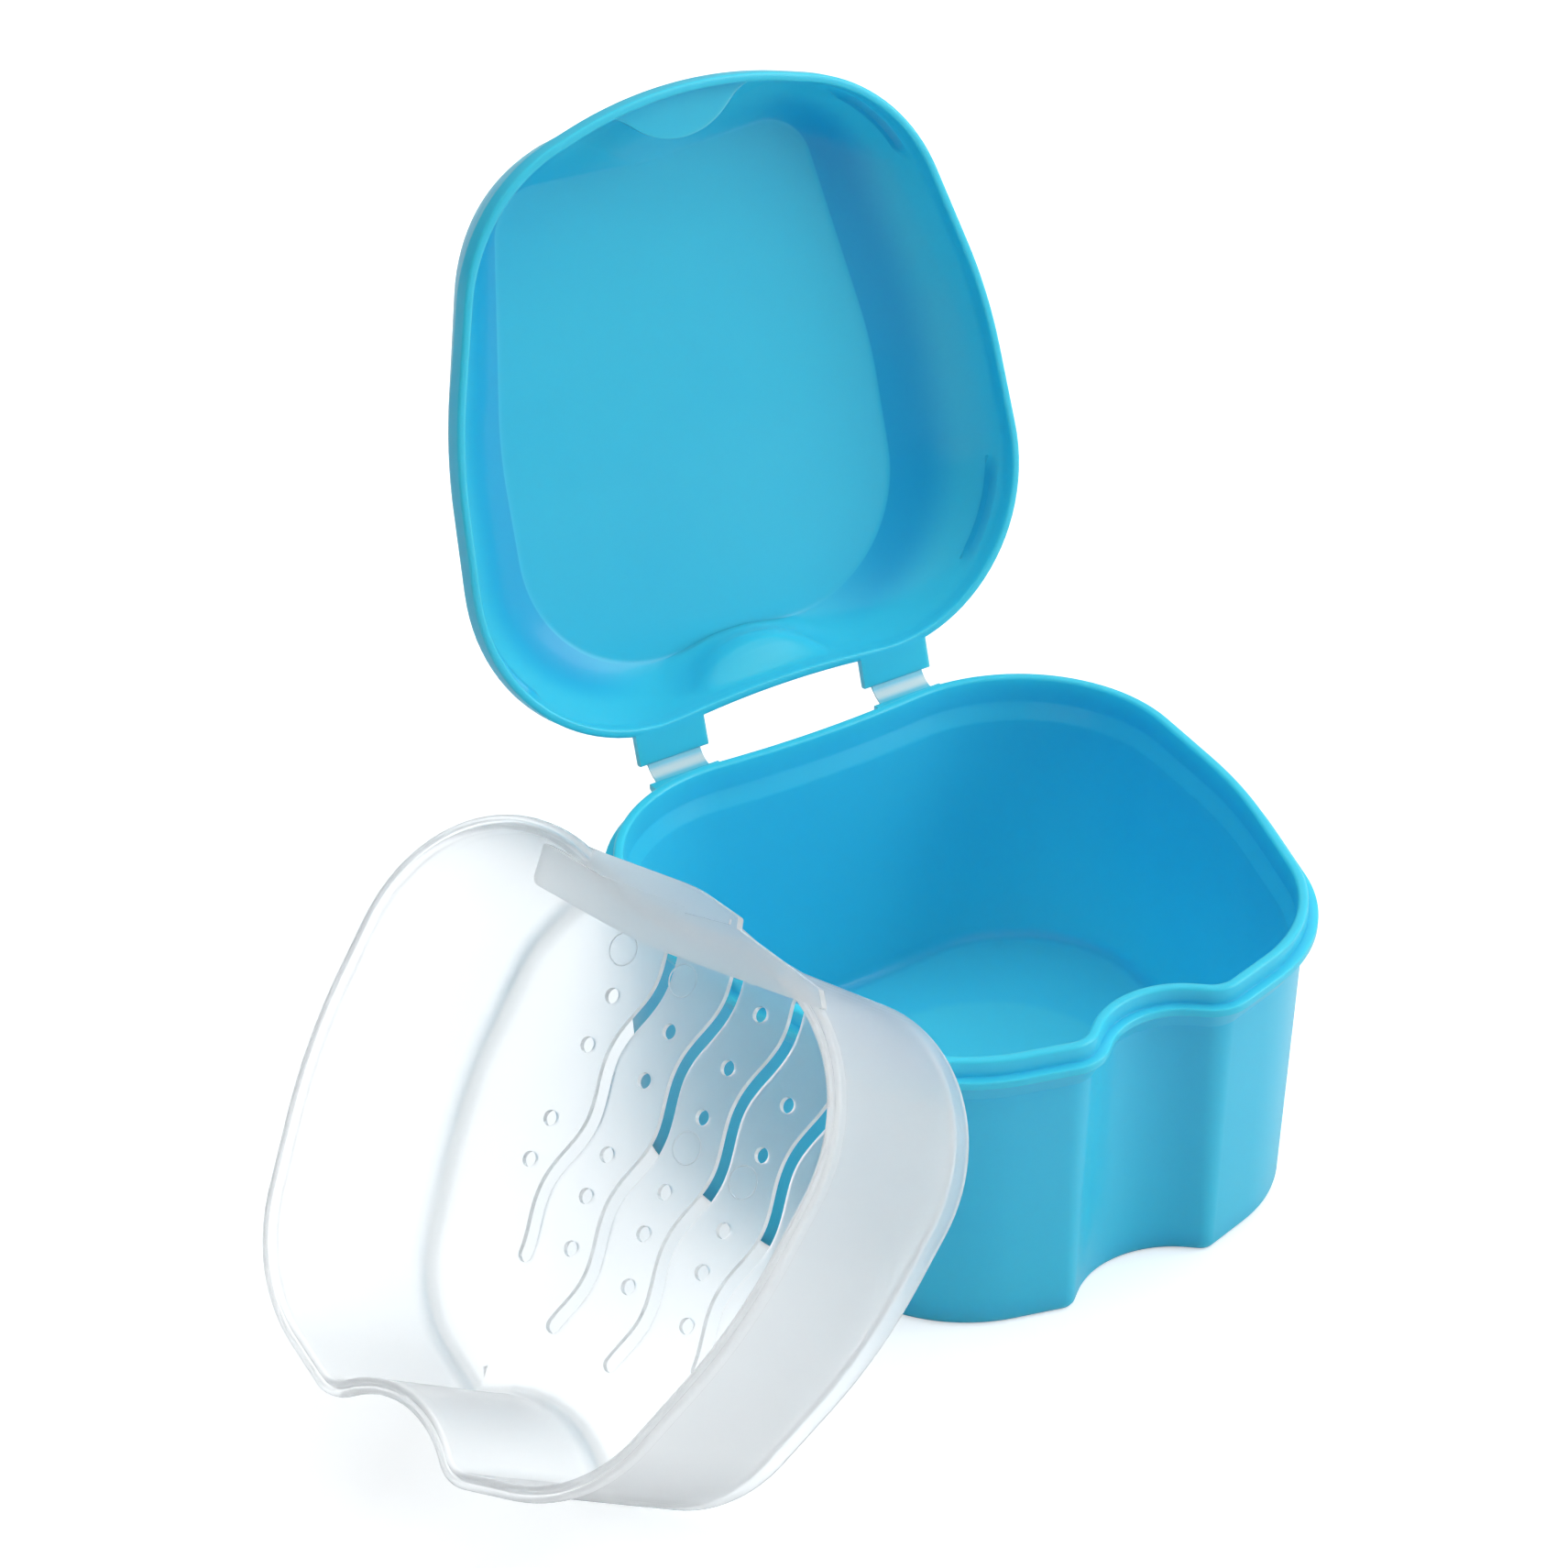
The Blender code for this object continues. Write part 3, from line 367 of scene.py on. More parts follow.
def build_box(material):
    top = CASE_HEIGHT
    inner_low = -CASE_DRAFT_INSET - CASE_WALL_BASE
    foot = -CASE_DRAFT_INSET
    profile = [
        (foot - 2.0 * FOOT_RADIUS - CAP_STEP, 0.0, 0.0),
        (foot - 2.0 * FOOT_RADIUS, 0.0, 0.0),
        (foot, 0.0, FOOT_RADIUS),
        (-NECK_INSET, top - NECK_DROP, 0.35),
        (COLLAR_EDGE_OUT, top - COLLAR_EDGE_DROP, 0.30),
        (COLLAR_OUT, top - COLLAR_EDGE_DROP + COLLAR_BEVEL, 0.20),
        (COLLAR_OUT, top - SHOULDER_DROP, 0.22),
        (0.0, top - SHOULDER_DROP, 0.15),
        (0.0, top, 0.45),
        (-LIP_WIDTH, top, 0.45),
        (-LIP_WIDTH, top - LEDGE_DROP + LEDGE_SLOPE_ABOVE, 1.6),
        (-LIP_WIDTH - LEDGE_WIDTH, top - LEDGE_DROP - LEDGE_SLOPE_BELOW, 2.2),
        (inner_low, CASE_FLOOR, FLOOR_CORNER_RADIUS),
        (inner_low - 3.4, CASE_FLOOR, 0.0),
        (inner_low - 3.4 - CAP_STEP, CASE_FLOOR, 0.0),
    ]
    box = lofted("box_shell", [ring(CASE_OUTLINE, out, z) for out, z in softened(profile)])
    leaf_top = top - LEAF_TOP_DROP
    side = [
        (LEAF_ROOT_Y, leaf_top),
        (LEAF_END_Y - BAR_BEVEL, leaf_top),
        (LEAF_END_Y, leaf_top - BAR_BEVEL),
        (LEAF_END_Y, leaf_top - LEAF_THICK + BAR_BEVEL),
        (LEAF_END_Y - BAR_BEVEL, leaf_top - LEAF_THICK),
        (LEAF_ROOT_Y, top - LEAF_FOOT_DROP),
    ]
    leaves = [bar_along_x("leaf", side, sign * LEAF_INNER_X, sign * LEAF_OUTER_X) for sign in (-1.0, 1.0)]
    cut_or_joined(box, [(leaf, "UNION") for leaf in leaves])
    # Marks the box's inner floor, which takes a lighter colour as painted light.
    heights = np.array([vertex.co.z for vertex in box.data.vertices]) / MM
    floor = box.data.attributes.new("floor", "FLOAT", "POINT")
    floor.data.foreach_set("value", (np.abs(heights - CASE_FLOOR) < FLOOR_TOLERANCE).astype(np.float32))
    return finished(box, material)


def following_notch(points, out):
    """A lid ring drawn in where the box's front has its finger notch."""
    case = outline(CASE_OUTLINE, out)
    front = case[(case[:, 1] < SIDE[1]) & (np.abs(case[:, 0]) < FRONT_CORNER[0])]
    front = front[np.argsort(front[:, 0])]
    result = points.copy()
    near = (points[:, 1] < FRONT_CORNER[1]) & (np.abs(points[:, 0]) < SHOULDER[0] + SHOULDER[2])
    wanted = np.interp(points[near, 0], front[:, 0], front[:, 1])
    result[near, 1] = np.maximum(points[near, 1], wanted)
    return result


def scooped(points, out, up):
    """A lid ring drawn in between the straps, most of all halfway up the dome."""
    share = points[:, 0] / (SCOOP_HALF - out)
    near = (np.abs(share) < 1.0) & (points[:, 1] > SIDE[1])
    heights = [SCOOP_FROM_SHARE, SCOOP_FULL_SHARE, SCOOP_FADE_SHARE, 1.0]
    fade = np.interp(up, heights, [0.0, 1.0, 1.0, SCOOP_TOP_SHARE])
    result = points.copy()
    result[near, 1] -= SCOOP_DEPTH * fade * (1.0 - share[near] ** 2)
    return result


def painted_shade_along(points, up, notched):
    """0 to 1 where shade is painted into the lid's colour: along both sides' shoulders and in the notch."""
    sides = soft_step(np.abs(points[:, 0]), *SHADE_SIDES) * soft_step(points[:, 1], *SHADE_FRONT)
    shoulder = sides * soft_step(up, *SHADE_SHOULDER)
    inside = np.clip(notched / NOTCH_EDGE_WIDTH, 0.0, 1.0)
    edge = inside * (NOTCH_MIDDLE_SHARE + (1.0 - NOTCH_MIDDLE_SHARE) * np.exp(-notched / NOTCH_EDGE_WIDTH))
    return np.maximum(shoulder, edge)


def lid_dome(skirt_out, low, panel_out, high):
    """Rings from the skirt's top along an arc to the flat panel, and how much painted shade each takes."""
    plain = ring(LID_OUTLINE, skirt_out, low)
    notched = following_notch(plain, skirt_out)
    end = ring(PANEL_OUTLINE, panel_out, high)
    whole_across = math.cos(DOME_ARC_FROM) - math.cos(DOME_ARC_TO)
    whole_up = math.sin(DOME_ARC_TO) - math.sin(DOME_ARC_FROM)
    rings, painted_shade = [], []
    for turn in np.linspace(DOME_ARC_FROM, DOME_ARC_TO, DOME_STEPS + 1)[1:]:
        across = (math.cos(DOME_ARC_FROM) - math.cos(turn)) / whole_across
        up = (math.sin(turn) - math.sin(DOME_ARC_FROM)) / whole_up
        notch = max(0.0, 1.0 - up / NOTCH_FADE_SHARE)
        start = plain + (notched - plain) * notch
        points = start * (1.0 - across) + end * across
        points[:, 2] = low + (high - low) * up
        rings.append(scooped(points, skirt_out - LID_CLEARANCE, up))
        painted_shade.append(painted_shade_along(points, up, (start - plain)[:, 1] * (1.0 - across)))
    return rings, painted_shade


def faded(values, low, high):
    """1 inside a range and 0 outside it, with a soft step at both ends."""
    inside = np.minimum(values - low, high - values) / RIB_END_FADE
    return np.clip(inside, 0.0, 1.0)


def rib_reach(points):
    """1 along the four snap ribs and 0 away from them."""
    x, y = np.abs(points[:, 0]), points[:, 1]
    return faded(y, *RIB_BACK) + faded(y, *RIB_FRONT) * (x > RIB_FRONT_MIN_X)


def ribbed(points):
    """A ring of the lid's inner wall drawn in along the four snap ribs."""
    reach = rib_reach(points)
    away = points[:, :2] - np.array([0.0, SIDE[1] * HALF])
    away /= np.linalg.norm(away, axis=1)[:, None]
    result = points.copy()
    result[:, :2] -= away * (RIB_REACH * reach)[:, None]
    return result


def with_ribs(rings):
    """The inner wall's rings with the ribs' rows put in at their height."""
    heights = [points[0, 2] for points in rings]
    foot = RIB_HALF + RIB_FADE
    rows = []
    for offset, raised in ((-foot, False), (-RIB_HALF, True), (0.0, True), (RIB_HALF, True), (foot, False)):
        height = RIB_HEIGHT + offset
        i = int(np.searchsorted(heights, height))
        share = (height - heights[i - 1]) / (heights[i] - heights[i - 1])
        row = rings[i - 1] * (1.0 - share) + rings[i] * share
        rows.append(ribbed(row) if raised else row)
    kept = [points for points in rings if abs(points[0, 2] - RIB_HEIGHT) > foot + 0.1]
    return sorted(kept + rows, key=lambda points: points[0, 2])


def build_lid(material):
    inner, outer = LID_CLEARANCE, LID_OUT
    skirt_out = inner + LID_WALL
    tab_top = TAB_UNDER + TAB_THICK
    panel_top = PANEL_HEIGHT + PANEL_THICK
    rim = softened([
        (outer, tab_top - 0.5, 0.0),
        (outer, 0.0, 0.40),
        (inner, 0.0, 0.30),
        (inner, TAB_UNDER - RIM_STEP, 0.0),
    ])
    outside = [
        ring(LID_OUTLINE, outer, tab_top - 0.15),
        ring(LID_OUTLINE, outer - 0.05, tab_top),
        following_notch(ring(LID_OUTLINE, skirt_out - RIM_STEP, tab_top + RIM_STEP), skirt_out),
    ]
    dome_low = tab_top + 2.0 * RIM_STEP
    outside += lid_dome(skirt_out - RIM_STEP, dome_low, LID_WALL - 0.5, panel_top - 0.22)[0]
    for out, drop in PANEL_EDGE_OUTSIDE:
        outside.append(ring(PANEL_OUTLINE, out, panel_top - drop))
    wall = [
        following_notch(ring(LID_OUTLINE, inner, TAB_UNDER), inner),
        following_notch(ring(LID_OUTLINE, inner, SKIRT_TOP), inner),
    ]
    dome, painted_shade = lid_dome(inner, SKIRT_TOP, 0.0, PANEL_HEIGHT - 0.2)
    wall = with_ribs(wall + dome)
    rib_half = RIB_HALF + RIB_FADE * HALF
    ribs = np.vstack([points for points in wall if abs(points[0, 2] - RIB_HEIGHT) < rib_half])
    even = outside + wall[:1]
    for out, drop in PANEL_EDGE_INSIDE:
        wall.append(ring(PANEL_OUTLINE, out, PANEL_HEIGHT - drop))
        even.append(wall[-1])
    rings = outside[::-1] + [ring(LID_OUTLINE, out, z) for out, z in rim] + wall
    rim_z = CASE_HEIGHT - SHOULDER_DROP + LID_SEAT_GAP
    lift = np.array([0.0, 0.0, rim_z])
    lid = lofted("lid_shell", [points + lift for points in rings])
    side = [
        (TAB_ROOT_Y, rim_z),
        (TAB_END_Y - BAR_BEVEL, rim_z),
        (TAB_END_Y, rim_z + BAR_BEVEL),
        (TAB_END_Y, rim_z + TAB_PLATE - BAR_BEVEL),
        (TAB_END_Y - BAR_BEVEL, rim_z + TAB_PLATE),
        (TAB_ROOT_Y, rim_z + TAB_PLATE),
    ]
    tabs = [bar_along_x("tab", side, sign * LEAF_INNER_X, sign * LEAF_OUTER_X) for sign in (-1.0, 1.0)]
    cut_or_joined(lid, [(tab, "UNION") for tab in tabs])
    # Marks the painted shade: a deeper colour on the lid's shoulders, ribs and notch.
    even = np.vstack(even)
    places = np.vstack(dome + [ribs, even]) + lift
    painted_shade += [RIB_SHADE_SHARE * rib_reach(ribs), np.zeros(len(even))]
    marked(lid, "painted_shade", places, np.concatenate(painted_shade))
    placed(lid, lid_turn())
    return finished(lid, material)


def build_strap(name, sign, material):
    """A thin curved strip from the leaf's end to the open tab's end."""
    rim_z = CASE_HEIGHT - SHOULDER_DROP + LID_SEAT_GAP
    start = np.array([LEAF_END_Y - WEB_OVERLAP, CASE_HEIGHT - LEAF_TOP_DROP - LEAF_THICK * HALF])
    closed_end = Vector((0.0, TAB_END_Y - WEB_OVERLAP, rim_z + TAB_PLATE * HALF)) * MM
    open_end = lid_turn() @ closed_end / MM
    end = np.array([open_end.y, open_end.z])
    line = end - start
    across = np.array([-line[1], line[0]]) / np.linalg.norm(line)
    upper, lower = [], []
    for share in np.linspace(0.0, 1.0, WEB_STEPS + 1):
        middle = start + line * share - across * WEB_SAG * math.sin(math.pi * share)
        waist = WEB_WAIST + (1.0 - WEB_WAIST) * abs(2.0 * share - 1.0) ** 3
        upper.append(middle + across * WEB_THICK * HALF * waist)
        lower.append(middle - across * WEB_THICK * HALF * waist)
    side = [tuple(p) for p in upper + lower[::-1]]
    columns = np.linspace(sign * WEB_INNER_X, sign * WEB_OUTER_X, WEB_COLUMNS)
    rings = [np.array([(x, y, z) for y, z in side], float) for x in columns]
    strap = lofted(name, rings)
    # How far each point lies along the strap, from the leaf at 0 to the tab at 1.
    places = np.array([tuple(v.co) for v in strap.data.vertices]) / MM
    shares = (places[:, 1:] - start) @ line / (line @ line)
    along = strap.data.attributes.new("along", "FLOAT", "POINT")
    along.data.foreach_set("value", np.clip(shares, 0.0, 1.0).astype(np.float32))
    hinge = (sign * (WEB_INNER_X + WEB_OUTER_X) * HALF * MM, start[0] * MM, start[1] * MM)
    far = (hinge[0], end[0] * MM, end[1] * MM)
    finished(strap, material)
    return strap, hinge, far


def slot_outline(x, back, front):
    """A slot that winds round a straight line, with round ends."""
    ys = np.linspace(back, front, SLOT_POINTS)
    xs = x + SLOT_SWING * np.sin(2.0 * math.pi * (back - ys) / SLOT_WAVE)
    centre = np.column_stack([xs, ys])
    ahead = np.gradient(centre, axis=0)
    ahead /= np.linalg.norm(ahead, axis=1)[:, None]
    normal = np.column_stack([-ahead[:, 1], ahead[:, 0]])
    reach = SLOT_WIDTH * HALF
    turns = np.linspace(0.0, math.pi, SLOT_END_POINTS)[1:-1]
    end = [centre[-1] + reach * (normal[-1] * math.cos(t) + ahead[-1] * math.sin(t)) for t in turns]
    start = [centre[0] - reach * (normal[0] * math.cos(t) + ahead[0] * math.sin(t)) for t in turns]
    return np.vstack([centre + normal * reach, end, (centre - normal * reach)[::-1], start])


def repeated_on_points(name, points, build, material, sizes):
    """A plain mesh of one small shape on every point.

    build adds the shape's nodes to the tree and returns its mesh socket.
    """
    mesh = bpy.data.meshes.new(name)
    mesh.from_pydata([tuple(Vector(p) * MM) for p in points], [], [])
    thing = bpy.data.objects.new(name, mesh)
    bpy.context.scene.collection.objects.link(thing)
    tree = bpy.data.node_groups.new(name, "GeometryNodeTree")
    tree.interface.new_socket("Geometry", in_out="INPUT", socket_type="NodeSocketGeometry")
    for label in sizes:
        tree.interface.new_socket(label, in_out="INPUT", socket_type="NodeSocketFloat")
    tree.interface.new_socket("Geometry", in_out="OUTPUT", socket_type="NodeSocketGeometry")
    given = node(tree, "NodeGroupInput")
    shape = build(tree, given)
    laid = node(
        tree,
        "GeometryNodeInstanceOnPoints",
        links={"Points": given.outputs["Geometry"], "Instance": shape},
    )
    real = node(tree, "GeometryNodeRealizeInstances", links={"Geometry": laid.outputs["Instances"]})
    dressed = node(tree, "GeometryNodeSetMaterial", links={"Geometry": real.outputs["Geometry"]})
    dressed.inputs["Material"].default_value = material
    node(tree, "NodeGroupOutput", links={"Geometry": dressed.outputs["Geometry"]})
    step = thing.modifiers.new(name, "NODES")
    step.node_group = tree
    for item in tree.interface.items_tree:
        if item.in_out == "INPUT" and item.name in sizes:
            step[item.identifier] = sizes[item.name]
    bpy.context.view_layer.update()
    graph = bpy.context.evaluated_depsgraph_get()
    plain = bpy.data.meshes.new_from_object(thing.evaluated_get(graph))
    thing.modifiers.clear()
    thing.data = plain
    return thing


def drain_pin(tree, given):
    """A round pin, the cutter of one drain hole."""
    pin = node(
        tree,
        "GeometryNodeMeshCylinder",
        inputs={"Vertices": 32},
        links={"Radius": given.outputs["Radius"], "Depth": given.outputs["Depth"]},
    )
    return pin.outputs["Mesh"]


def ejector_ring(tree, given):
    """A low round bead, the mark that an ejector pin leaves on a moulded floor."""
    path = node(
        tree,
        "GeometryNodeCurvePrimitiveCircle",
        inputs={"Resolution": 48},
        links={"Radius": given.outputs["Radius"]},
    )
    section = node(
        tree,
        "GeometryNodeCurvePrimitiveCircle",
        inputs={"Resolution": 8},
        links={"Radius": given.outputs["Bead"]},
    )
    swept = node(
        tree,
        "GeometryNodeCurveToMesh",
        links={"Curve": path.outputs["Curve"], "Profile Curve": section.outputs["Curve"]},
    )
    return swept.outputs["Mesh"]


# The lift tab across the basket's back rim: corners on the rim's plane with radius and steps, in mm.
GRIP_TOP = 0.25
GRIP_THICK = 1.25
GRIP = [
    (-20.90, 36.75, 0.25, 3),
    (-12.60, 37.60, 0.25, 3),
    (-13.20, 39.45, 0.25, 3),
    (4.20, 42.10, 24.0, 14),
    (12.80, 41.60, 0.50, 5),
    (13.40, 40.20, 0.25, 3),
    (29.00, 39.00, 0.25, 3),
    (31.00, 37.00, 0.25, 3),
    (1.00, 32.05, 90.0, 14),
    (-19.70, 31.40, 1.40, 8),
]
RIDGE = [(-19.60, 36.45), (-9.50, 36.70), (5.00, 38.85), (12.20, 40.55)]
RIDGE_HALF = 0.35
RIDGE_RISE = 0.55
RIDGE_SINK = 0.45


def ridge_outline():
    line = np.array(RIDGE)
    ahead = np.gradient(line, axis=0)
    ahead /= np.linalg.norm(ahead, axis=1)[:, None]
    normal = np.column_stack([-ahead[:, 1], ahead[:, 0]]) * RIDGE_HALF
    return np.vstack([line + normal, (line - normal)[::-1]])


def build_basket(material):
    wall_out = BEAD_OUT - BEAD_OVERHANG
    bead_in = BEAD_OUT - BEAD_WIDTH
    base_out = BEAD_OUT - BASKET_BASE_SET
    base_in = base_out - BASKET_WALL
    floor_z = -BASKET_FLOOR_TOP
    under_z = floor_z - BASKET_FLOOR_THICK
    foot_in = base_out - BASKET_FOOT_WIDTH
    profile = [
        (base_in - 4.0 - CAP_STEP, floor_z, 0.0),
        (base_in - 4.0, floor_z, 0.0),
        (base_in, floor_z, 2.8),
        (bead_in, -BEAD_HEIGHT - BEAD_OVERHANG, 0.6),
        (bead_in, 0.0, 0.55),
        (bead_in + 0.72, 0.0, 0.12),
        (bead_in + 0.95, -GROOVE_DEPTH, 0.08),
        (bead_in + 1.25, -GROOVE_DEPTH, 0.08),
        (bead_in + 1.48, 0.0, 0.12),
        (BEAD_OUT, 0.0, 0.55),
        (BEAD_OUT, -BEAD_HEIGHT, 0.35),
        (wall_out, -BEAD_HEIGHT, 0.20),
        (base_out, -BASKET_DEPTH, 0.50),
        (foot_in, -BASKET_DEPTH, 0.30),
        (foot_in - 0.2, under_z, 0.3),
        (foot_in - 0.9, under_z, 0.0),
        (foot_in - 1.2, under_z, 0.0),
    ]
    basket = lofted("basket_shell", [ring(BASKET_OUTLINE, out, z) for out, z in softened(profile)])
    low = under_z - CUT_BELOW
    high = floor_z + CUT_ABOVE
    slots = []
    for sign in (-1.0, 1.0):
        inner_x = sign * PITCH * HALF
        slots.append(prism("slot", slot_outline(inner_x, *INNER_SLOT), low, high))
        slots.append(prism("slot", slot_outline(inner_x + sign * PITCH, *OUTER_SLOT), low, high))
    middle = (low + high) * HALF
    spots = [(*HOLE_FIRST, middle)]
    spots += [(column * PITCH, y, middle) for y in HOLE_ROWS for column in (-2, -1, 0, 1, 2)]
    spots += [(column * PITCH + HOLE_LAST[0], HOLE_LAST[1], middle) for column in (-1, 0, 1)]
    sizes = {"Radius": HOLE_DIAMETER * HALF * MM, "Depth": (high - low) * MM}
    pins = repeated_on_points("drain_pins", spots, drain_pin, material, sizes)
    grip = prism("grip", outline(GRIP, 0.0), GRIP_TOP - GRIP_THICK, GRIP_TOP)
    ridge = prism("ridge", ridge_outline(), GRIP_TOP - RIDGE_SINK, GRIP_TOP + RIDGE_RISE)
    steps = [(grip, "UNION"), (ridge, "UNION"), (pins, "DIFFERENCE")]
    cut_or_joined(basket, steps + [(slot, "DIFFERENCE") for slot in slots])
    place = Matrix.Translation(BASKET_PLACE * MM) @ BASKET_TURN.to_matrix().to_4x4()
    placed(basket, place)
    spots = [(x, y, floor_z) for x, y in EJECTOR_MARKS]
    sizes = {"Radius": EJECTOR_RADIUS * MM, "Bead": EJECTOR_BEAD * MM}
    rings = repeated_on_points("basket_ejector_marks", spots, ejector_ring, material, sizes)
    placed(rings, place)
    finished(rings, material, math.radians(80.0))
    return finished(basket, material), rings


def painted_floor_light(tree, place, colour):
    """Mixes in a lighter colour on the box's floor as painted light, most of all inside a rounded middle away
    from its walls.
    """
    parts = node(tree, "ShaderNodeSeparateXYZ", links={"Vector": place.outputs["Object"]})
    terms = []
    for axis, middle, reach in (("X", 0.0, LIT_FLOOR_HALF_X), ("Y", LIT_FLOOR_MIDDLE_Y, LIT_FLOOR_HALF_Y)):
        away = node(
            tree,
            "ShaderNodeMath",
            {"operation": "MULTIPLY_ADD"},
            inputs={1: 1.0 / (reach * MM), 2: -middle / reach},
            links={0: parts.outputs[axis]},
        )
        size = node(tree, "ShaderNodeMath", {"operation": "ABSOLUTE"}, links={0: away.outputs["Value"]})
        bent = node(
            tree,
            "ShaderNodeMath",
            {"operation": "POWER"},
            inputs={1: LIT_FLOOR_BEND},
            links={0: size.outputs["Value"]},
        )
        terms.append(bent.outputs["Value"])
    total = node(tree, "ShaderNodeMath", {"operation": "ADD"}, links={0: terms[0], 1: terms[1]})
    inside = node(
        tree,
        "ShaderNodeMapRange",
        {"interpolation_type": "SMOOTHSTEP"},
        inputs={"From Min": LIT_FLOOR_FADE[0], "From Max": LIT_FLOOR_FADE[1], "To Min": 0.0, "To Max": 1.0},
        links={"Value": total.outputs["Value"]},
    )
    shades = node(tree, "ShaderNodeMix", {"data_type": "RGBA"}, links={"Factor": inside.outputs["Result"]})
    shades.inputs["A"].default_value = linear(LIT_FLOOR_EDGE_BLUE)
    shades.inputs["B"].default_value = linear(LIT_FLOOR_MIDDLE_BLUE)
    floor = node(tree, "ShaderNodeAttribute", {"attribute_name": "floor"})
    mixed = node(
        tree,
        "ShaderNodeMix",
        {"data_type": "RGBA"},
        links={"Factor": floor.outputs["Fac"], "A": colour, "B": shades.outputs["Result"]},
    )
    return mixed.outputs["Result"]


def painted_shoulder_shade(tree, colour):
    """Mixes in a deeper colour as painted shade on the lid's shoulders, ribs and notch."""
    painted_shade = node(tree, "ShaderNodeAttribute", {"attribute_name": "painted_shade"})
    mixed = node(
        tree,
        "ShaderNodeMix",
        {"data_type": "RGBA"},
        links={"Factor": painted_shade.outputs["Fac"], "A": colour},
    )
    mixed.inputs["B"].default_value = linear(PAINTED_SHADE_BLUE)
    return mixed.outputs["Result"]


def bent_strap_streak(tree, colour):
    """Mixes in the whitened middle of a strap, where folding has stretched the polypropylene."""
    along = node(tree, "ShaderNodeAttribute", {"attribute_name": "along"})
    away = node(
        tree,
        "ShaderNodeMath",
        {"operation": "SUBTRACT"},
        inputs={1: HALF},
        links={0: along.outputs["Fac"]},
    )
    size = node(tree, "ShaderNodeMath", {"operation": "ABSOLUTE"}, links={0: away.outputs["Value"]})
    streak = node(
        tree,
        "ShaderNodeMapRange",
        {"interpolation_type": "SMOOTHSTEP"},
        inputs={"From Min": STREAK_FADE[0], "From Max": STREAK_FADE[1], "To Min": 0.0, "To Max": 1.0},
        links={"Value": size.outputs["Value"]},
    )
    mixed = node(
        tree,
        "ShaderNodeMix",
        {"data_type": "RGBA"},
        links={"Factor": streak.outputs["Result"], "A": colour},
    )
    mixed.inputs["B"].default_value = linear(STREAK_BLUE)
    return mixed.outputs["Result"]


def moulded_polypropylene(name, colour, deep, see_through, glow, roughness, gloss, scatter=3.5, marking=None):
    """Injection-moulded polypropylene: a milky body that lets light through, with a smooth polished skin."""
    material = bpy.data.materials.new(name)
    material.use_nodes = True
    tree = material.node_tree
    tree.nodes.clear()
    place = node(tree, "ShaderNodeTexCoord")
    # Melt that cools unevenly leaves cloudy areas about 25 mm across.
    clouds = node(
        tree,
        "ShaderNodeTexNoise",
        inputs={"Scale": 1.0 / (CLOUD_SIZE * MM), "Detail": 2.0, "Roughness": 0.45},
        links={"Vector": place.outputs["Object"]},
    )
    tint = node(
        tree,
        "ShaderNodeMix",
        {"data_type": "RGBA"},
        links={"Factor": clouds.outputs["Fac"]},
    )
    tint.inputs["A"].default_value = linear(colour)
    tint.inputs["B"].default_value = linear(deep)
    shade = tint.outputs["Result"]
    # The box's floor takes painted light: a lighter colour.
    if marking == "floor":
        shade = painted_floor_light(tree, place, shade)
    # The lid takes painted shade: a deeper colour on its shoulders, ribs and notch.
    if marking == "shoulder":
        shade = painted_shoulder_shade(tree, shade)
    if marking == "streak":
        shade = bent_strap_streak(tree, shade)
    # The polished mould's faint waviness is about 1.5 mm long, drawn twice as coarse so that it shows.
    waves = node(
        tree,
        "ShaderNodeTexNoise",
        inputs={"Scale": 1.0 / (WAVE_SIZE * MM), "Detail": 1.0},
        links={"Vector": place.outputs["Object"]},
    )
    skin = node(
        tree,
        "ShaderNodeBump",
        inputs={"Strength": 0.06, "Distance": WAVE_DEPTH * MM},
        links={"Height": waves.outputs["Fac"]},
    )
    rough = node(
        tree,
        "ShaderNodeMapRange",
        inputs={"To Min": roughness - ROUGHNESS_RANGE, "To Max": roughness + ROUGHNESS_RANGE},
        links={"Value": clouds.outputs["Fac"]},
    )
    body = node(
        tree,
        "ShaderNodeBsdfPrincipled",
        inputs={
            "IOR": POLYPROPYLENE_IOR,
            "Transmission Weight": see_through,
            "Subsurface Weight": glow,
            "Subsurface Scale": scatter * MM,
            "Coat Weight": gloss,
            "Coat Roughness": COAT_ROUGHNESS,
            "Specular IOR Level": SPECULAR_LEVEL,
        },
        links={
            "Base Color": shade,
            "Roughness": rough.outputs["Result"],
            "Normal": skin.outputs["Normal"],
        },
    )
    body.inputs["Subsurface Radius"].default_value = (1.0, 1.0, 1.0)
    node(tree, "ShaderNodeOutputMaterial", links={"Surface": body.outputs["BSDF"]})
    return material


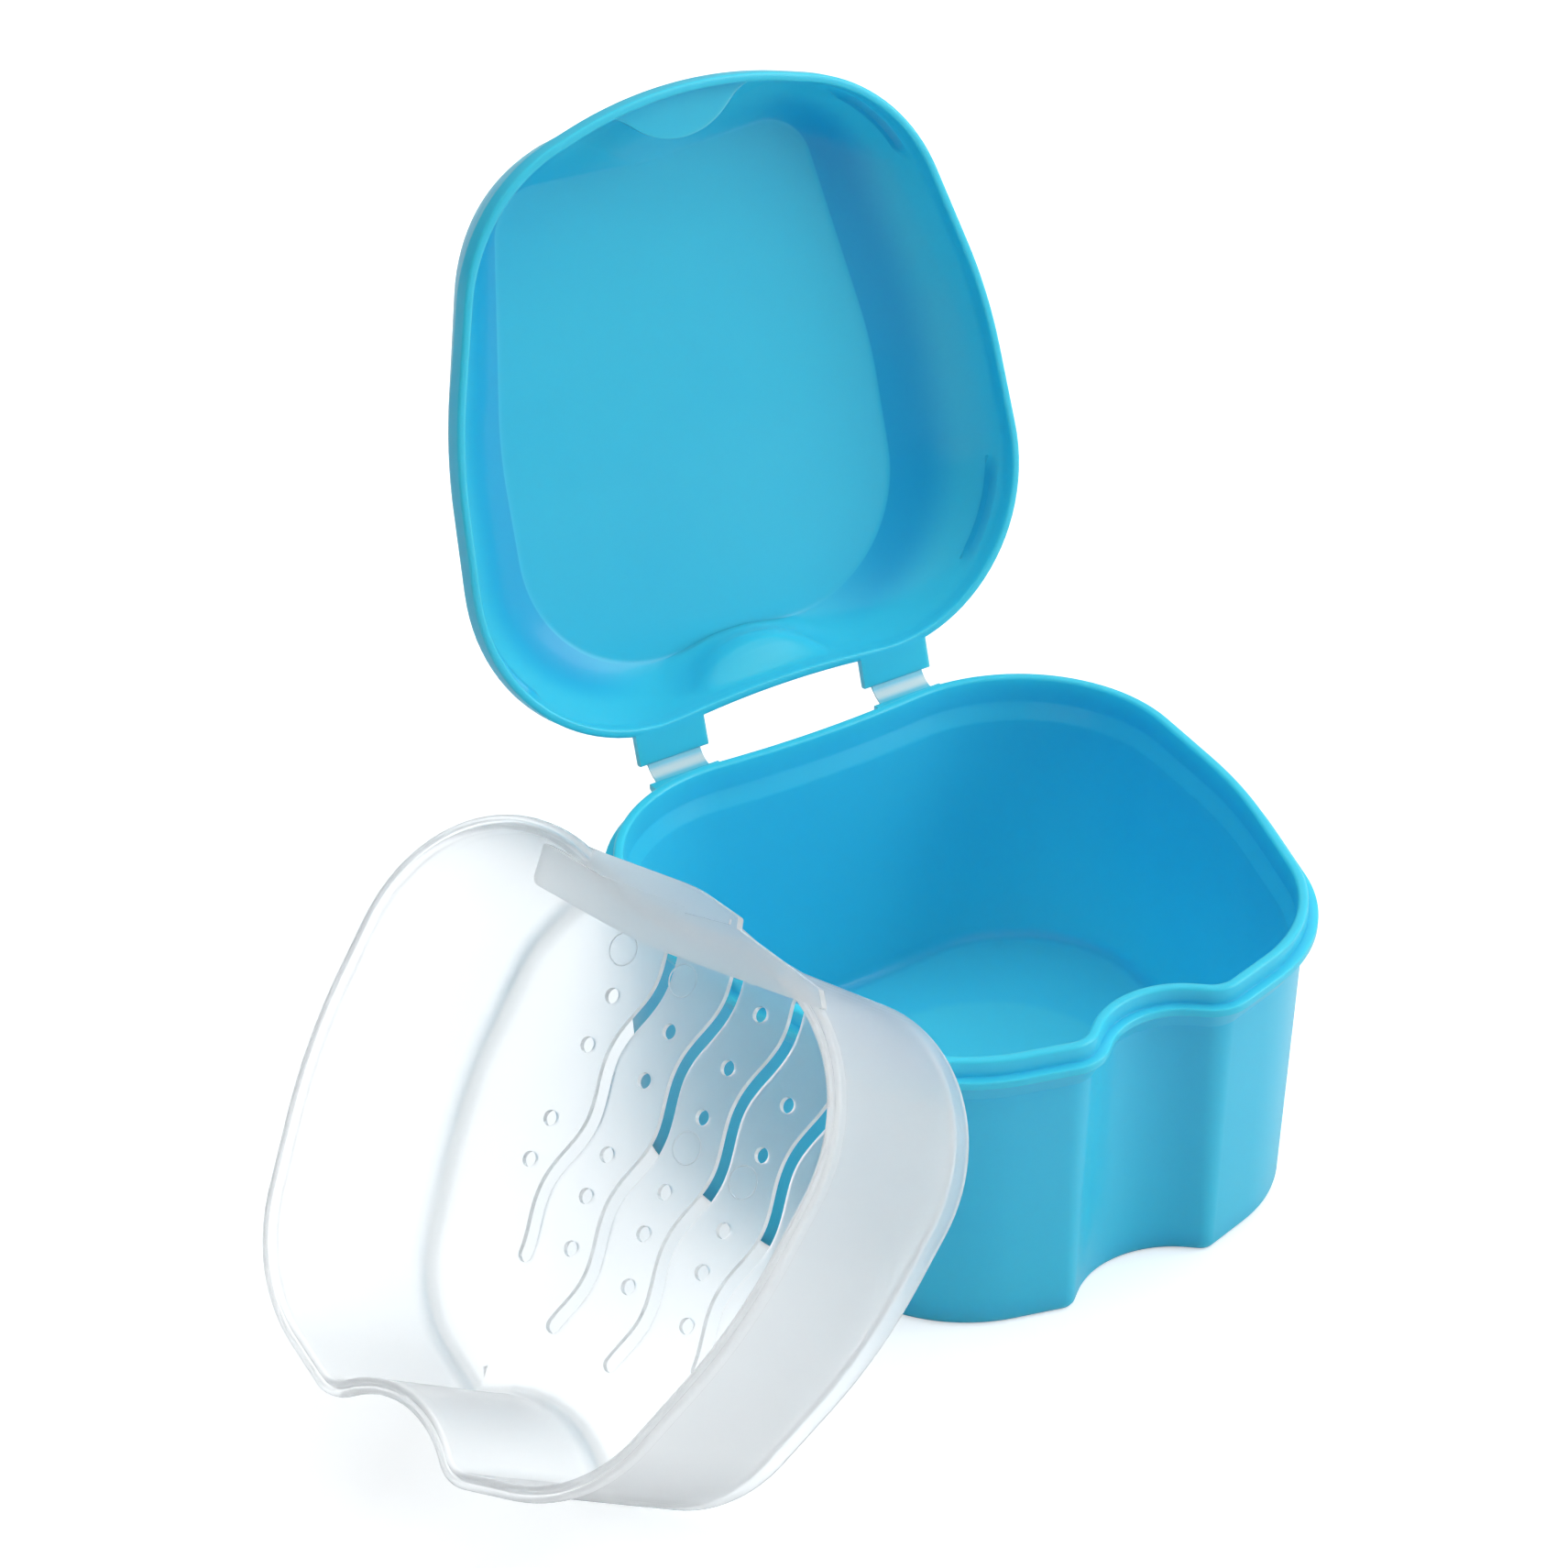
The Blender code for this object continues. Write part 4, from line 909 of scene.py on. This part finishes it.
def pale_floor(name, colour, lift_seen, lift_through):
    """Matt paper or floor paint. It can be lifted behind the object and still holds its shadow."""
    material = bpy.data.materials.new(name)
    material.use_nodes = True
    tree = material.node_tree
    tree.nodes.clear()
    rays = node(tree, "ShaderNodeLightPath")
    through = node(
        tree,
        "ShaderNodeMath",
        {"operation": "MULTIPLY"},
        inputs={1: lift_through},
        links={0: rays.outputs["Is Transmission Ray"]},
    )
    lift = node(
        tree,
        "ShaderNodeMath",
        {"operation": "MULTIPLY_ADD"},
        inputs={1: lift_seen},
        links={0: rays.outputs["Is Camera Ray"], 2: through.outputs["Value"]},
    )
    paper = node(
        tree,
        "ShaderNodeBsdfPrincipled",
        inputs={"Roughness": 0.9, "Base Color": linear(colour), "Emission Color": (1.0, 1.0, 1.0, 1.0)},
        links={"Emission Strength": lift.outputs["Value"]},
    )
    node(tree, "ShaderNodeOutputMaterial", links={"Surface": paper.outputs["BSDF"]})
    return material


# Painted light on the box's floor: its lighter middle, in mm, as a rounded rectangle with bent sides.
LIT_FLOOR_HALF_X = 28.8
LIT_FLOOR_HALF_Y = 31.0
LIT_FLOOR_MIDDLE_Y = -3.0
LIT_FLOOR_BEND = 2.6
LIT_FLOOR_FADE = (1.12, 0.94)
# The painted light's colours, at the floor's edge and in its middle.
LIT_FLOOR_EDGE_BLUE = "#4CD9FF"
LIT_FLOOR_MIDDLE_BLUE = "#56DFFF"
# The deeper colour painted as shade on the lid.
PAINTED_SHADE_BLUE = "#20B6E2"

# The whitened streak across a bent strap, as distances from its middle where it begins and is full.
STREAK_FADE = (0.32, 0.06)
STREAK_BLUE = "#D2F6FC"

# Polypropylene: the sizes of its clouds and waves in mm, its roughness range and its coat.
CLOUD_SIZE = 25.0
WAVE_SIZE = 3.0
WAVE_DEPTH = 0.05
ROUGHNESS_RANGE = 0.03
POLYPROPYLENE_IOR = 1.49
COAT_ROUGHNESS = 0.06
SPECULAR_LEVEL = 0.35

# Light: the room's strength at its left and right and as the camera sees it, and the lamps' watts.
ROOM_LEFT = 0.03
ROOM_RIGHT = 0.30
ROOM_TOP = 0.30
ROOM_SEEN = 1.0
OVERHEAD_W = 15.0
KEY_W = 23.0
BACK_W = 5.0

# Floor: how far the paper and the ground below it lie under the object's foot, in metres.
PAPER_SINK = 0.00005
GROUND_SINK = 0.004

# Camera, solved from the outlines of the box, the lid and the basket: metres and millimetres of lens.
CAMERA_TARGET = (0.0, 0.009494, 0.0329)
CAMERA_AWAY = (-0.4543, -0.6855, 0.5689)
CAMERA_DISTANCE = 0.72143
CAMERA_LENS = 112.4
CAMERA_SENSOR = 36.0
CAMERA_SHIFT = (-0.1015, 0.0890)


def flat_sheet(name, corners, height, material):
    """A flat sheet over its corners in metres, seen from above."""
    mesh = bmesh.new()
    mesh.faces.new([mesh.verts.new((x, y, height)) for x, y in corners])
    sheet = object_from(name, mesh)
    sheet.data.materials.append(material)


def build_floor():
    # The paper ends about two metres in front of the object, with darker ground beyond it.
    paper = [(-3.0, 3.0), (-3.0, -0.98), (1.09, -1.95), (0.52, -0.885), (1.2, 0.2), (3.0, 3.0)]
    flat_sheet("paper", paper, -PAPER_SINK, pale_floor("white_paper_sweep", "#DDE0E2", 0.52, 0.91))
    ground = [(-5.0, -4.2), (-5.0, 4.0), (5.0, 4.0), (5.0, -4.2)]
    flat_sheet("ground", ground, -GROUND_SINK, pale_floor("grey_studio_floor", "#6C7072", 0.80, 0.66))


def soft_lamp(name, place, target, size, power, mirrored_in_gloss=True):
    data = bpy.data.lights.new(name, "AREA")
    data.shape = "SQUARE"
    data.size = size
    data.energy = power
    lamp = bpy.data.objects.new(name, data)
    lamp.location = place
    lamp.rotation_euler = (Vector(target) - Vector(place)).to_track_quat("-Z", "Y").to_euler()
    lamp.visible_glossy = mirrored_in_gloss
    bpy.context.scene.collection.objects.link(lamp)


def build_light():
    """Soft light from the right and above. The room is darker on the left and white behind the object."""
    world = bpy.data.worlds.new("studio")
    bpy.context.scene.world = world
    world.use_nodes = True
    tree = world.node_tree
    tree.nodes.clear()
    place = node(tree, "ShaderNodeTexCoord")
    parts = node(tree, "ShaderNodeSeparateXYZ", links={"Vector": place.outputs["Generated"]})
    side = node(
        tree,
        "ShaderNodeMapRange",
        {"interpolation_type": "SMOOTHSTEP"},
        inputs={"From Min": -0.9, "From Max": 0.9, "To Min": ROOM_LEFT, "To Max": ROOM_RIGHT},
        links={"Value": parts.outputs["X"]},
    )
    above = node(
        tree,
        "ShaderNodeMapRange",
        {"interpolation_type": "SMOOTHSTEP"},
        inputs={"From Min": 0.1, "From Max": 1.0, "To Min": 0.0, "To Max": ROOM_TOP},
        links={"Value": parts.outputs["Z"]},
    )
    room_light = node(
        tree,
        "ShaderNodeMath",
        {"operation": "ADD"},
        links={0: side.outputs["Result"], 1: above.outputs["Result"]},
    )
    rays = node(tree, "ShaderNodeLightPath")
    seen = node(
        tree,
        "ShaderNodeMath",
        {"operation": "MAXIMUM"},
        links={0: rays.outputs["Is Camera Ray"], 1: rays.outputs["Is Transmission Ray"]},
    )
    strength = node(
        tree,
        "ShaderNodeMix",
        {"data_type": "FLOAT"},
        inputs={3: ROOM_SEEN},
        links={0: seen.outputs["Value"], 2: room_light.outputs["Value"]},
    )
    room = node(
        tree,
        "ShaderNodeBackground",
        inputs={"Color": (0.97, 0.985, 1.0, 1.0)},
        links={"Strength": strength.outputs[0]},
    )
    node(tree, "ShaderNodeOutputWorld", links={"Surface": room.outputs["Background"]})
    soft_lamp("overhead", (0.15, 0.10, 1.50), (0.0, 0.0, 0.04), 1.8, OVERHEAD_W, False)
    soft_lamp("key", (1.45, -1.20, 0.95), (0.0, 0.0, 0.05), 1.6, KEY_W)
    soft_lamp("back", (1.40, 0.80, 0.80), (0.0, 0.0, 0.06), 1.2, BACK_W, False)


def build_camera():
    target = Vector(CAMERA_TARGET)
    away = Vector(CAMERA_AWAY).normalized()
    data = bpy.data.cameras.new("camera")
    data.lens = CAMERA_LENS
    data.sensor_width = CAMERA_SENSOR
    data.shift_x, data.shift_y = CAMERA_SHIFT
    camera = bpy.data.objects.new("camera", data)
    camera.location = target + away * CAMERA_DISTANCE
    camera.rotation_euler = (-away).to_track_quat("-Z", "Y").to_euler()
    bpy.context.scene.collection.objects.link(camera)
    bpy.context.scene.camera = camera


# Colour, deeper colour, share seen through, share of inner glow, roughness and coat.
BLUE = ("#43CFEF", "#3DCAED", 0.08, 0.70, 0.32, 0.14)
# The lid's material paints shade on its shoulders, ribs and notch; the box's material paints light on its
# floor.
blue_lid = moulded_polypropylene("polypropylene_sky_blue_lid", *BLUE, marking="shoulder")
blue_box = moulded_polypropylene("polypropylene_sky_blue_box", *BLUE, marking="floor")
strap_blue = moulded_polypropylene(
    "polypropylene_sky_blue_thin_strap", "#5CD2F0", "#56CCEC", 0.20, 0.60, 0.30, 0.2, marking="streak"
)
natural = moulded_polypropylene("polypropylene_natural_frosted", "#FAFBFB", "#F6F8F9", 0.90, 0.06, 0.45, 0.3)

box = build_box(blue_box)
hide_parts("case_base")
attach(box, "box")
lid = build_lid(blue_lid)
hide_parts("lid")
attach(lid, "lid")
for side, sign in (("left", -1.0), ("right", 1.0)):
    strap, near, far = build_strap("strap_" + side, sign, strap_blue)
    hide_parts("hinge_web_" + side)
    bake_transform(strap)
basket, marks = build_basket(natural)
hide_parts("basket")
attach(basket, "basket")
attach(marks, "basket")

build_floor()
build_light()
build_camera()
bpy.context.scene.view_settings.view_transform = "Standard"
